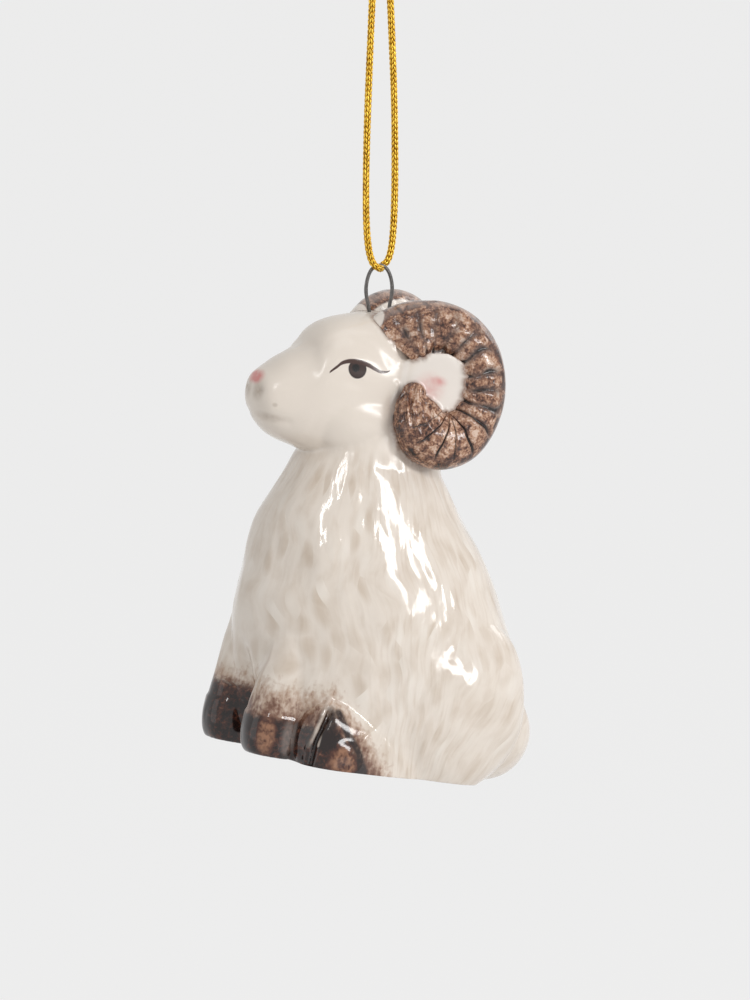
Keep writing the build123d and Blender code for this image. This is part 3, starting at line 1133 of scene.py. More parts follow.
def smooth_line(name: str, route: Sequence[tuple[float, float, float]], steps: int) -> np.ndarray:
    """Points along the smooth curve that a route's points control.

    Args:
        name: What the curve is called.
        route: The control points, in metres.
        steps: How finely each span of the curve is read.

    Returns:
        The points along the curve.
    """
    curve = bpy.data.curves.new(name, "CURVE")
    curve.dimensions = "3D"
    curve.resolution_u = steps
    spline = curve.splines.new("NURBS")
    spline.points.add(len(route) - 1)
    for point, place in zip(spline.points, route):
        point.co = (*place, 1.0)
    spline.order_u = 3
    spline.use_endpoint_u = True
    holder = bpy.data.objects.new(name, curve)
    bpy.context.scene.collection.objects.link(holder)
    read = bpy.data.meshes.new_from_object(holder)
    points = mesh_points(read)
    bpy.data.objects.remove(holder)
    return points


def evenly(points: np.ndarray, gap: float) -> np.ndarray:
    """The same line with points about one gap apart.

    Args:
        points: The line.
        gap: The distance between points.

    Returns:
        The new points.
    """
    run = run_along(points)
    count = max(2, int(round(run[-1] / gap)) + 1)
    spots = np.linspace(0, run[-1], count)
    return np.stack([np.interp(spots, run, points[:, axis]) for axis in range(3)], axis=1)


@dataclass
class Horn:
    """One horn: a flattened spiral of glazed ribs round the ear, in upright millimetres."""

    hanging: Hanging
    side: Side
    centre_setback: float = 7.3
    centre_height: float = 58.3
    reach_length: float = 7.8
    reach_height: float = 9.4
    start_angle: float = 138.5
    tip_angle: float = -160.0
    full_spread: float = 10.2
    band_radius: float = 3.75
    side_radius: float = 3.3
    rib_count: int = 18
    groove_depth: float = 0.40
    groove_wander: float = 0.22
    groove_width: float = 0.16
    groove_narrowing: float = 0.10
    stripe_margin: float = 0.09
    spread_shares: tuple = (0.30, 0.58, 0.80, 0.94, 1.00, 1.00, 0.98, 0.95, 0.92)
    reach_shares: tuple = (0.99, 0.96, 0.98, 1.00, 1.00, 0.97, 0.77, 0.52, 0.40)
    girth_shares: tuple = (0.98, 0.98, 1.00, 1.00, 1.02, 1.12, 1.20, 0.94, 0.44)
    rings: int = 420
    sides: int = 96
    tip_rings: int = 14
    tip_closing: float = 0.98
    look_ahead: float = 0.01
    root_flare: float = 2.9
    flare_span: tuple = (0.20, 0.05)
    root_drop: float = 0.38
    drop_span: tuple = (0.24, 0.08)
    far_lead: float = 0.5

    def centre_line(self, progress: np.ndarray) -> np.ndarray:
        """The spiral, from the root at 0 to the tip at 1.

        Args:
            progress: How far along.

        Returns:
            Its points, in upright millimetres.
        """
        turn = np.radians(self.start_angle + (self.tip_angle - self.start_angle) * progress)
        reach = eased(self.reach_shares, progress)
        spread = self.full_spread * eased(self.spread_shares, progress)
        lead = self.far_lead if self.side is Side.RIGHT else 0.0
        back = self.centre_setback - lead + self.reach_length * reach * np.cos(turn)
        height = self.centre_height + self.reach_height * reach * np.sin(turn)
        return np.stack((spread, back, height), axis=1)

    def build(self) -> bpy.types.Object:
        """The horn with its grooves, wrinkled tip and rounded end.

        Returns:
            The horn.
        """
        body = np.linspace(0, 1, self.rings)
        progress = np.concatenate((body, np.full(self.tip_rings, 1.0)))
        dome = np.linspace(0, math.pi / 2, self.tip_rings + 1)[1:] * self.tip_closing
        closing = np.concatenate((np.ones(self.rings), np.cos(dome)))
        centres = self.centre_line(progress)
        ahead = self.centre_line(np.clip(progress + self.look_ahead, 0, 1))
        forward = unit(ahead - self.centre_line(progress - self.look_ahead))
        across = unit(np.array((1.0, 0.0, 0.0)) - forward * forward[:, :1])
        over = np.cross(across, forward)
        girth = eased(self.girth_shares, progress)
        rise = self.band_radius * girth[-1] * np.sin(dome)
        centres[self.rings:] += forward[self.rings:] * rise[:, None]
        turns = np.linspace(0, 2 * math.pi, self.sides, endpoint=False)
        place = np.repeat(progress, self.sides)
        girth = np.repeat(girth, self.sides)
        closing = np.repeat(closing, self.sides)
        sideways = np.tile(np.cos(turns), len(progress))
        outward = np.tile(np.sin(turns), len(progress))
        groove, stripe = self.grooves(place, outward, sideways)
        wrinkle = self.wrinkles(place, outward, sideways)
        lift = (wrinkle - self.groove_depth * groove) * closing
        wide = (self.side_radius * girth + lift) * closing
        tall = (self.band_radius * girth + lift) * closing
        inner = smooth_step(0.0, -0.6, outward)
        tall *= 1 + self.root_drop * smooth_step(*self.drop_span, place) * inner
        points = np.repeat(centres, self.sides, axis=0)
        points += np.repeat(across, self.sides, axis=0) * (wide * sideways)[:, None]
        points += np.repeat(over, self.sides, axis=0) * (tall * outward)[:, None]
        points[:, 0] += self.root_flare * smooth_step(*self.flare_span, place) * inner
        points[:, 0] *= self.side.value
        faces = closed_faces(len(progress), self.sides)
        if self.side is Side.LEFT:
            faces = [face[::-1] for face in faces]
        made = mesh_object(f"horn_{self.side.name.lower()}_glazed", self.hanging.to_row(points), faces)
        notes = {
            "along": place * self.rib_count,
            "outward": outward,
            "sideways": sideways,
            "groove": groove,
            "stripe": stripe,
            "progress": place,
        }
        for name, values in notes.items():
            keep_number(made.data, name, values)
        return made

    def grooves(
        self, place: np.ndarray, outward: np.ndarray, sideways: np.ndarray
    ) -> tuple[np.ndarray, np.ndarray]:
        """How deep each point lies in a groove and in the soft stripe of wash along it, 0 to 1.

        The grooves are wide and shallow near the root, narrow and sharp further down,
        and glaze has filled them along the outer rim.

        Args:
            place: How far along the horn each point lies, from 0 to 1.
            outward: How far towards the outer rim, from -1 to 1.
            sideways: How far away from the head, from -1 to 1.

        Returns:
            The grooves and the stripes.
        """
        spots = np.stack((place * self.rib_count, outward, sideways), axis=1)
        spots[:, 0] += lattice_noise(spots * (0.7, 1.6, 1.6), 5) * self.groove_wander
        off = np.abs(spots[:, 0] - np.round(spots[:, 0]))
        wide = self.groove_width - self.groove_narrowing * smooth_step(0.45, 0.62, place)
        rim = 1 - smooth_step(0.40, 0.82, outward) * 0.98
        fade = (1 - smooth_step(0.80, 0.90, place)) * smooth_step(0.02, 0.08, place)
        strength = fade * (0.75 + 0.35 * lattice_noise(spots * (0.9, 2, 2), 6))
        groove = np.exp(-((off / wide) ** 2)) * rim
        stripe = np.exp(-((off / (wide + self.stripe_margin)) ** 2))
        stripe *= 1 - smooth_step(0.55, 0.9, outward)
        return groove * strength, stripe * strength

    def wrinkles(self, place: np.ndarray, outward: np.ndarray, sideways: np.ndarray) -> np.ndarray:
        """Hand-worked unevenness, drawn out into long wrinkles at the tip.

        Args:
            place: How far along the horn each point lies, from 0 to 1.
            outward: How far towards the outer rim, from -1 to 1.
            sideways: How far away from the head, from -1 to 1.

        Returns:
            The lift of each point, in millimetres.
        """
        spots = np.stack((place * self.rib_count, outward, sideways), axis=1)
        tip = smooth_step(0.74, 0.88, place)
        root = 1 - smooth_step(0.05, 0.30, place)
        lumps = lattice_noise(spots * (0.8, 1.7, 1.7), 7) * 0.09
        pits = lattice_noise(spots * (1.7, 3.6, 3.6), 8) * 0.06
        folds = np.abs(lattice_noise(spots * (0.50, 3.4, 3.4), 9))
        return lumps + pits * (0.4 + root + tip) + (0.22 - folds) * 0.85 * tip


@dataclass
class RamForms:
    """The smooth masses that the casting was modelled from, in upright millimetres."""

    sides: int = 128
    steps: int = 10
    body_height: float = 44.8
    body_half_length: float = 23.1
    body_half_width: float = 16.2
    body_setback: float = 12.3
    body_squareness: float = 2.15
    body_shares: tuple = (
        (0.000, 0.93, 0.830, 0.880),
        (0.155, 0.99, 0.955, 0.975),
        (0.330, 0.93, 1.000, 1.000),
        (0.490, 0.75, 0.965, 0.965),
        (0.615, 0.64, 0.885, 0.905),
        (0.745, 0.50, 0.785, 0.815),
        (0.865, 0.39, 0.660, 0.700),
        (1.000, 0.30, 0.500, 0.585),
    )
    haunch: tuple = ((9.6, 18.0, 11.5), (7.6, 14.0, 14.5))
    tail: tuple = ((0.0, 32.4, 8.2), (5.6, 5.4, 6.9))
    rump: tuple = ((6.0, 27.9, 7.5), (6.2, 7.5, 7.2))
    foreleg_spread: float = 6.4
    foreleg_fronts: tuple = (-11.7, -12.3)
    foreleg_half_length: float = 5.6
    foreleg_half_width: float = 4.2
    foreleg_height: float = 33.0
    foreleg_setback: float = 9.0
    foreleg_squareness: float = 2.4
    foreleg_shares: tuple = (
        (0.00, 0.07, 0.93),
        (0.04, 0.02, 0.98),
        (0.13, 0.00, 1.00),
        (0.27, 0.03, 0.96),
        (0.50, 0.15, 1.00),
        (0.75, 0.37, 1.04),
        (1.00, 1.10, 0.80),
    )
    foot_spread: float = 11.9
    foot_front: float = -5.0
    foot_length: float = 20.0
    foot_half_width: float = 4.3
    foot_height: float = 10.4
    foot_squareness: float = 2.6
    foot_shares: tuple = (
        (0.00, 0.40, 0.52),
        (0.05, 0.72, 0.84),
        (0.16, 0.96, 0.99),
        (0.34, 1.00, 1.00),
        (0.60, 0.92, 0.86),
        (0.85, 0.70, 0.60),
        (1.00, 0.40, 0.30),
    )
    head_length: float = 27.5
    head_height: float = 22.5
    head_half_width: float = 8.0
    head_front: float = -17.7
    crown_height: float = 67.5
    head_squareness: float = 2.2
    head_shares: tuple = (
        (0.000, 0.550, 0.685, 0.20),
        (0.020, 0.503, 0.755, 0.42),
        (0.060, 0.460, 0.830, 0.56),
        (0.131, 0.384, 0.902, 0.67),
        (0.200, 0.328, 0.935, 0.76),
        (0.258, 0.268, 0.952, 0.84),
        (0.295, 0.180, 0.962, 0.88),
        (0.353, 0.108, 0.978, 0.93),
        (0.462, 0.050, 0.985, 0.985),
        (0.644, 0.000, 0.970, 1.00),
        (0.790, 0.020, 0.910, 0.93),
        (0.913, 0.120, 0.780, 0.74),
        (1.000, 0.330, 0.560, 0.30),
    )
    nape_height: float = 14.0
    nape_shares: tuple = (
        (0.00, 1.00, 1.00, 1.00),
        (0.33, 1.05, 0.88, 0.92),
        (0.70, 1.00, 0.70, 0.78),
        (1.00, 0.90, 0.46, 0.55),
    )
    ear_root: tuple = (7.0, 2.8, 59.7)
    ear_length: float = 11.0
    ear_half_width: float = 4.7
    ear_half_thickness: float = 0.9
    ear_flare: float = 20.0
    ear_droop: float = 6.0
    ear_cup: float = 1.2
    ear_shares: tuple = ((0.00, 0.42), (0.22, 0.74), (0.50, 1.00), (0.78, 0.82), (0.94, 0.46), (1.00, 0.16))
    cheek: tuple = ((3.4, -1.2, 51.7), (5.1, 8.6, 6.3))
    toes: tuple = (((11.6, -1.8, 3.6), (2.7, 4.0, 5.8)), ((14.2, 0.4, 1.8), (2.5, 4.6, 4.4)))
    wire_puddles: tuple = (((0.0, 2.9, 67.0), (0.9, 0.9, 0.5)), ((0.0, -0.2, 66.9), (0.9, 0.9, 0.5)))

    def rows(self, table: Sequence[Sequence[float]]) -> np.ndarray:
        """Many rows along a smooth curve through a table's rows."""
        return eased(table, np.linspace(0, 1, (len(table) - 1) * self.steps + 1)).T

    def stack(
        self, centres: np.ndarray, across: np.ndarray, along: np.ndarray, squareness: float
    ) -> tuple[np.ndarray, list]:
        """A closed form through rings.

        Args:
            centres: The rings' centres.
            across: Each ring's first half axis, as a vector.
            along: Each ring's second half axis.
            squareness: 2 for ellipses, more for squarer rings.

        Returns:
            The points and the faces.
        """
        turns = np.linspace(0, 2 * math.pi, self.sides, endpoint=False)
        one = np.sign(np.cos(turns)) * np.abs(np.cos(turns)) ** (2 / squareness)
        two = np.sign(np.sin(turns)) * np.abs(np.sin(turns)) ** (2 / squareness)
        points = centres[:, None] + across[:, None] * one[:, None] + along[:, None] * two[:, None]
        return points.reshape(-1, 3), closed_faces(len(centres), self.sides)

    def axes(self, wide: np.ndarray, deep: np.ndarray, lying: bool) -> tuple[np.ndarray, np.ndarray]:
        """Half axes of rings that lie flat, or of rings that stand across the ram.

        Args:
            wide: Half widths.
            deep: Half lengths, or half heights of standing rings.
            lying: Whether the rings lie flat.

        Returns:
            The two half axes of each ring.
        """
        none = np.zeros_like(wide)
        across = np.stack((wide, none, none), axis=1)
        along = np.stack((none, deep, none) if lying else (none, none, deep), axis=1)
        return across, along

    def egg(self, centre: Sequence[float], reach: Sequence[float]) -> tuple[np.ndarray, list]:
        """An egg-shaped mass.

        Args:
            centre: Its middle.
            reach: Its half sizes.

        Returns:
            The points and the faces.
        """
        rise = np.linspace(-0.499, 0.499, 60) * math.pi
        girth = np.cos(rise)
        none = np.zeros_like(rise)
        centres = np.array(centre) + np.stack((none, none, reach[2] * np.sin(rise)), axis=1)
        return self.stack(centres, *self.axes(reach[0] * girth, reach[1] * girth, True), 2.0)

    def side_egg(
        self, side: int, centre: Sequence[float], reach: Sequence[float]
    ) -> tuple[np.ndarray, list]:
        """An egg-shaped mass on one side, 1 for the left and -1 for the right."""
        return self.egg((side * centre[0], *centre[1:]), reach)

    def trunk(self) -> tuple[np.ndarray, list]:
        """The trunk from the base to the neck.

        Returns:
            The points and the faces.
        """
        height, setback, length, width = self.rows(self.body_shares)
        none = np.zeros_like(height)
        centres = np.stack((none, self.body_setback * setback, self.body_height * height), axis=1)
        axes = self.axes(self.body_half_width * width, self.body_half_length * length, True)
        return self.stack(centres, *axes, self.body_squareness)

    def nape(self) -> tuple[np.ndarray, list]:
        """The back of the neck, up into the skull.

        Returns:
            The points and the faces.
        """
        height, setback, length, width = self.rows(self.nape_shares)
        _, back, half_length, half_width = self.body_shares[-1]
        none = np.zeros_like(height)
        levels = self.body_height - 0.4 + self.nape_height * height
        centres = np.stack((none, self.body_setback * back * setback, levels), axis=1)
        wide = self.body_half_width * half_width * width
        deep = self.body_half_length * half_length * length
        return self.stack(centres, *self.axes(wide, deep, True), self.body_squareness)

    def foreleg(self, side: int) -> tuple[np.ndarray, list]:
        """One foreleg, from the hoof up into the chest.

        Args:
            side: 1 for the left, -1 for the right.

        Returns:
            The points and the faces.
        """
        height, setback, girth = self.rows(self.foreleg_shares)
        front = self.foreleg_fronts[0 if side > 0 else 1]
        back = front + self.foreleg_half_length + self.foreleg_setback * setback
        spread = np.full_like(height, side * self.foreleg_spread)
        centres = np.stack((spread, back, self.foreleg_height * height), axis=1)
        axes = self.axes(self.foreleg_half_width * girth, self.foreleg_half_length * girth, True)
        return self.stack(centres, *axes, self.foreleg_squareness)

    def foot(self, side: int) -> tuple[np.ndarray, list]:
        """One hind foot, a long wedge along the base.

        Args:
            side: 1 for the left, -1 for the right.

        Returns:
            The points and the faces.
        """
        back, girth, height = self.rows(self.foot_shares)
        none = np.zeros_like(back)
        spread = np.full_like(back, side * self.foot_spread)
        centres = np.stack((spread, self.foot_front + self.foot_length * back, none), axis=1)
        axes = self.axes(self.foot_half_width * girth, self.foot_height * height, False)
        return self.stack(centres, *axes, self.foot_squareness)

    def skull(self) -> tuple[np.ndarray, list]:
        """The skull and muzzle.

        Returns:
            The points and the faces.
        """
        back, top, bottom, width = self.rows(self.head_shares)
        none = np.zeros_like(back)
        middle = self.crown_height - self.head_height * (top + bottom) / 2
        centres = np.stack((none, self.head_front + self.head_length * back, middle), axis=1)
        axes = self.axes(self.head_half_width * width, self.head_height * (bottom - top) / 2, False)
        return self.stack(centres, *axes, self.head_squareness)

    def ear(self, side: int) -> tuple[np.ndarray, list]:
        """One ear, a leaf cupped towards its outer face.

        Args:
            side: 1 for the left, -1 for the right.

        Returns:
            The points and the faces.
        """
        flare, droop = math.radians(self.ear_flare), math.radians(self.ear_droop)
        out, girth = self.rows(self.ear_shares)
        face = np.array((math.cos(flare), -math.sin(flare), 0.0))
        away = unit(np.array((math.sin(flare), math.cos(flare), -math.sin(droop))))
        down = np.cross(away, face)
        turns = np.linspace(0, 2 * math.pi, self.sides, endpoint=False)
        thick = self.ear_half_thickness * np.cos(turns) + self.ear_cup * np.sin(turns) ** 2 * girth[:, None]
        wide = self.ear_half_width * girth[:, None] * np.sin(turns)
        points = np.array(self.ear_root) + away * (self.ear_length * out)[:, None, None]
        points = points + face * thick[..., None] + down * wide[..., None]
        points[..., 0] *= side
        return points.reshape(-1, 3), closed_faces(len(out), self.sides)

    def build(self) -> tuple[np.ndarray, list]:
        """All the masses as one mesh.

        Returns:
            The points and the faces.
        """
        masses = [self.trunk(), self.nape(), self.skull(), self.egg(*self.tail)]
        masses += [self.egg(*puddle) for puddle in self.wire_puddles]
        for side in (1, -1):
            masses += [self.side_egg(side, *mass) for mass in (self.haunch, self.rump)]
            masses += [self.foreleg(side), self.foot(side), self.ear(side)]
            masses += [self.side_egg(side, *mass) for mass in (self.cheek, *self.toes)]
        parts, faces, first = [], [], 0
        for points, made in masses:
            parts.append(points)
            faces += [tuple(first + corner for corner in face) for face in made]
            first += len(points)
        return np.concatenate(parts), faces


@dataclass
class GlazedSkin:
    """The cast and joined porcelain: body, head and ears under one skin of glaze."""

    hanging: Hanging
    horns: Sequence[bpy.types.Object]
    voxel: float = 0.26 * MM
    smoothing: int = 10
    joint_height: float = 44.8
    vent_radius: float = 2.5
    vent_setback: float = 12.3
    vent_depth: float = 3.0
    ground_level: float = 0.8
    leg_gap_depth: float = 2.2
    leg_gap_reach: float = 2.0
    leg_gap_levels: tuple = (19.0, 9.0)
    leg_gap_backs: tuple = (-2.0, -8.0)
    toe_lift: float = 0.9
    toe_back: float = -10.8
    toe_reach: float = 2.0
    toe_levels: tuple = (4.5, 0.3)
    bead_height: float = 0.25
    bead_reach: float = 0.8
    horn_reach: float = 5.0
    halo_reach: float = 0.6
    halo_growth: float = 0.9
    ear_corner: tuple = (6.0, 1.5, 52.0)
    mounds: tuple = (
        ((7.0, -4.6, 60.6), (1.6, 3.0, 1.5), 0.30),
        ((7.0, -5.0, 57.0), (1.6, 3.4, 1.2), -0.15),
        ((2.2, -17.3, 53.6), (0.9, 1.4, 0.55), -0.35),
    )
    mouth_line: tuple = ((1.8, -16.8, 50.1), (3.2, -15.8, 49.8), (5.0, -13.3, 49.6))
    cheek_line: tuple = ((7.9, 2.0, 57.7), (8.7, 2.4, 53.0), (8.8, 3.2, 48.4))
    brow_line: tuple = (
        (1.0, -11.3, 60.9),
        (4.5, -9.4, 61.8),
        (5.4, -6.0, 63.3),
        (6.7, -2.3, 62.8),
        (7.7, 0.0, 60.3),
    )
    shin_line: tuple = (
        (4.4, -11.4, 0.0),
        (4.5, -11.3, 7.0),
        (6.0, -11.3, 10.2),
        (7.6, -10.9, 14.2),
        (7.7, -10.7, 17.1),
    )
    shin_reach: float = 0.8
    shin_height: float = 0.18
    toe_ridge: tuple = ((13.0, -2.2, 10.2), (14.1, -3.4, 7.6), (14.0, -4.1, 4.7), (13.6, -4.6, 2.5))
    toe_cleft: tuple = ((14.5, -2.6, 8.4), (14.7, -3.5, 6.0), (14.5, -4.1, 3.6), (14.4, -4.4, -1.0))
    hoof_cleft: tuple = ((6.4, -12.9, 5.4), (6.4, -12.7, -1.0))
    hoof_height: float = 0.18
    lines: tuple = (
        (mouth_line, 1.0, -0.14),
        (cheek_line, 0.7, 0.40),
        (brow_line, 1.3, -0.15),
        (toe_ridge, 0.5, 0.35),
        (toe_cleft, 0.7, -0.9),
        (hoof_cleft, 0.5, -0.5),
    )
    sources: tuple = ("body_casting", "head_casting", "ear_left", "ear_right")

    def build(self, nodes: dict[str, bpy.types.Object]) -> dict[str, bpy.types.Object]:
        """Makes the skin and parts it into the pieces of the ram.

        Args:
            nodes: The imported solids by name.

        Returns:
            The finished pieces by the name of the solid each stands for.
        """
        points, faces = RamForms().build()
        rough = mesh_object("skin", self.hanging.to_row(points), faces)
        remesh = rough.modifiers.new("skin", "REMESH")
        remesh.mode = "VOXEL"
        remesh.voxel_size = self.voxel
        seen = rough.evaluated_get(bpy.context.evaluated_depsgraph_get())
        skin = bpy.data.meshes.new_from_object(seen)
        bpy.data.objects.remove(rough)
        LOG.info("skin of %d points", len(skin.vertices))
        self.smooth(skin)
        self.sculpt(skin)
        return self.part(skin, nodes)

    def smooth(self, skin: bpy.types.Mesh) -> None:
        """Evens out the skin, as glaze fills creases and rounds edges.

        Args:
            skin: The skin.
        """
        points = mesh_points(skin)
        edges = np.empty(len(skin.edges) * 2, np.int32)
        skin.edges.foreach_get("vertices", edges)
        one, two = edges.reshape(-1, 2).T
        here, there = np.concatenate((one, two)), np.concatenate((two, one))
        count = np.bincount(here, minlength=len(points))[:, None]
        for _ in range(self.smoothing):
            sums = [np.bincount(here, points[there, axis], len(points)) for axis in range(3)]
            points += 0.5 * (np.stack(sums, axis=1) / count - points)
        skin.vertices.foreach_set("co", points.ravel())
        skin.update()

    def sculpt(self, skin: bpy.types.Mesh) -> None:
        """Works the relief into the skin and notes how near each point is to a horn.

        Args:
            skin: The skin.
        """
        points = mesh_points(skin)
        ram = self.hanging.to_ram(points)
        normals = mesh_normals(skin)
        near = self.horn_distance(points)
        lift = self.wool(ram) + self.features(ram)
        lift += self.bead_height * np.clip(1 - near / self.bead_reach, 0, 1) ** 2
        points += normals * (lift * MM)[:, None]
        ram = self.flatten_base(self.part_legs(self.hanging.to_ram(points)))
        skin.vertices.foreach_set("co", self.hanging.to_row(ram).ravel())
        skin.update()
        low = smooth_step(53.0, 49.0, ram[:, 2])
        halo = np.clip(1 - near / (self.halo_reach + self.halo_growth * low), 0, 1) ** 1.5
        keep_number(skin, "halo", halo)

    def wool(self, ram: np.ndarray) -> np.ndarray:
        """The height of the brushed locks of fleece, in millimetres.

        Args:
            ram: The skin's points, in upright millimetres.

        Returns:
            The lift of each point.
        """
        level = ram[:, 2]
        axis = FLEECE_RADIUS - level * FLEECE_LEAN
        around = np.arctan2(ram[:, 0], axis - ram[:, 1]) * FLEECE_RADIUS
        around = around + 1.2 * lattice_noise(ram / 9.0, 3)
        spots = np.stack((around, level, np.zeros_like(level)), axis=1)
        broad = lattice_noise(spots / (4.2, 8.0, 1.0), 1)
        locks = lattice_noise(spots / (2.0, 4.6, 1.0), 2)
        ridges = np.abs(lattice_noise(spots / (1.3, 6.0, 1.0), 4))
        fleece = smooth_step(46.5, 43.0, level) * smooth_step(8.5, 14.0, level + 0.5 * (ram[:, 1] + 6))
        return (broad * 0.30 + locks * 0.09 - ridges * 0.03) * fleece

    def features(self, ram: np.ndarray) -> np.ndarray:
        """The height of the modelled details, in millimetres.

        Args:
            ram: The skin's points, in upright millimetres.

        Returns:
            The lift of each point.
        """
        lift = lattice_noise(ram / 6.0, 9) * 0.06
        for centre, reach, height in self.mounds:
            lift += dab(ram, centre, reach) * height
        for route, reach, height in self.lines:
            lift += stroke(ram, route, reach) * height
        lift += stroke(ram, self.shin_line, self.shin_reach) * self.shin_height * (ram[:, 0] > 0)
        hoof = smooth_step(6.6, 5.9, ram[:, 2]) * smooth_step(-5.6, -6.4, ram[:, 1])
        return lift + hoof * self.hoof_height

    def part_legs(self, ram: np.ndarray) -> np.ndarray:
        """Presses the chest in between the forelegs and lifts the hooves' front edges.

        Args:
            ram: The skin's points, in upright millimetres.

        Returns:
            The moved points.
        """
        side, back, level = ram.T
        low = smooth_step(*self.leg_gap_levels, level) * smooth_step(*self.leg_gap_backs, back)
        lifted = np.clip((self.toe_back - back) / self.toe_reach, 0, 1) ** 2
        lifted *= smooth_step(*self.toe_levels, level)
        ram[:, 1] = back + self.leg_gap_depth * np.exp(-((side / self.leg_gap_reach) ** 2)) * low
        ram[:, 2] = level + self.toe_lift * lifted
        return ram

    def flatten_base(self, ram: np.ndarray) -> np.ndarray:
        """Grinds the base flat and sinks the vent into it.

        Args:
            ram: The skin's points, in upright millimetres.

        Returns:
            The moved points.
        """
        off = np.hypot(ram[:, 0], ram[:, 1] - self.vent_setback)
        base = smooth_step(self.vent_radius + 0.35, self.vent_radius - 0.05, off) * self.vent_depth
        level = ram[:, 2]
        ram[:, 2] = np.where(level < self.ground_level, np.maximum(level, 0.0) + base, level)
        return ram

    def horn_distance(self, points: np.ndarray) -> np.ndarray:
        """The distance from each point to the nearest horn, in millimetres, up to horn_reach.

        Args:
            points: The skin's points, in metres.

        Returns:
            The distances.
        """
        away = np.full(len(points), self.horn_reach)
        high = np.flatnonzero(self.hanging.to_ram(points)[:, 2] > 40)
        for horn in self.horns:
            tree = mesh_tree(horn.data)
            for index in high:
                found = tree.find_nearest(Vector(points[index]), self.horn_reach * MM)
                if found[3] is not None:
                    away[index] = min(away[index], found[3] / MM)
        return away

    def part(
        self, skin: bpy.types.Mesh, nodes: dict[str, bpy.types.Object]
    ) -> dict[str, bpy.types.Object]:
        """Parts the skin at the neck joint and at the ears' roots, with one shading across.

        Args:
            skin: The skin.
            nodes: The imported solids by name.

        Returns:
            The pieces by the name of the solid.
        """
        points = mesh_points(skin)
        normals = mesh_normals(skin)
        corners = np.empty(len(skin.loops), np.int32)
        skin.loops.foreach_get("vertex_index", corners)
        corners = corners.reshape(-1, 4)
        owner = self.owners(points[corners].mean(axis=1), nodes)
        halo = np.empty(len(points), np.float32)
        skin.attributes["halo"].data.foreach_get("value", halo)
        made = {}
        for number, name in enumerate(self.sources):
            used, packed = np.unique(corners[owner == number], return_inverse=True)
            piece = mesh_object(f"{name}_glazed", points[used], packed.reshape(-1, 4).tolist())
            keep_number(piece.data, "halo", halo[used])
            piece.data.normals_split_custom_set_from_vertices(normals[used].tolist())
            made[name] = piece
        return made

    def owners(self, centres: np.ndarray, nodes: dict[str, bpy.types.Object]) -> np.ndarray:
        """Which solid each face of the skin stands for, by its place in sources.

        Args:
            centres: The faces' middles, in metres.
            nodes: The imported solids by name.

        Returns:
            Places in sources.
        """
        ram = self.hanging.to_ram(centres)
        owner = np.where(ram[:, 2] < self.joint_height, 0, 1)
        trees = {name: mesh_tree(nodes[name].data) for name in self.sources[1:]}
        folded = np.column_stack((np.abs(ram[:, 0]), ram[:, 1:]))
        maybe = np.flatnonzero((folded > self.ear_corner).all(axis=1))
        for index in maybe:
            place = Vector(centres[index])
            ear = "ear_left" if ram[index, 0] > 0 else "ear_right"
            to_ear = trees[ear].find_nearest(place)[3]
            to_head = trees["head_casting"].find_nearest(place)[3]
            if to_ear < to_head:
                owner[index] = self.sources.index(ear)
        return owner


@dataclass
class WireLoop:
    """The hanger: a loop of wire whose feet go down into the crown."""

    hanging: Hanging
    diameter: float = 0.56
    cord_diameter: float = 1.0
    crown_gap: float = 0.02
    setback: float = -0.32
    half_width: float = 2.20
    length: float = 7.25
    bury: float = 2.6
    foot_share: float = 0.66
    shares: tuple = ((0.36, 0.02), (0.84, 0.20), (1.06, 0.56), (0.70, 0.96))
    sides: int = 16
    line_steps: int = 24
    line_gap: float = 0.12 * MM
    unevenness: float = 0.05
    uneven_length: float = 1.3 * MM

    def route(self) -> list[tuple[float, float, float]]:
        """The control points of the loop, in the row's metres.

        Returns:
            The points.
        """
        crown = self.cord_diameter / 2 + self.diameter / 2 + self.crown_gap - self.hanging.cord_drop
        half = [(self.half_width * wide, crown - self.length * drop) for wide, drop in self.shares]
        half.append((self.half_width * self.foot_share, crown - self.length - self.bury))
        points = [(0.0, (self.setback - wide) * MM, height * MM) for wide, height in reversed(half)]
        points += [(0.0, (self.setback + wide) * MM, height * MM) for wide, height in half]
        return points

    def build(self) -> bpy.types.Object:
        """The wire, slightly uneven as it comes from the pliers.

        Returns:
            The wire.
        """
        line = Path(evenly(smooth_line("wire_line", self.route(), self.line_steps), self.line_gap))
        radii = []
        for place in line.points:
            uneven = self.unevenness * noise.noise(Vector(place) / self.uneven_length)
            radii.append(self.diameter / 2 * (1 + uneven) * MM)
        points, faces = tube(line, np.array(radii), self.sides)
        return mesh_object("hanger_wire_loop", points, faces)


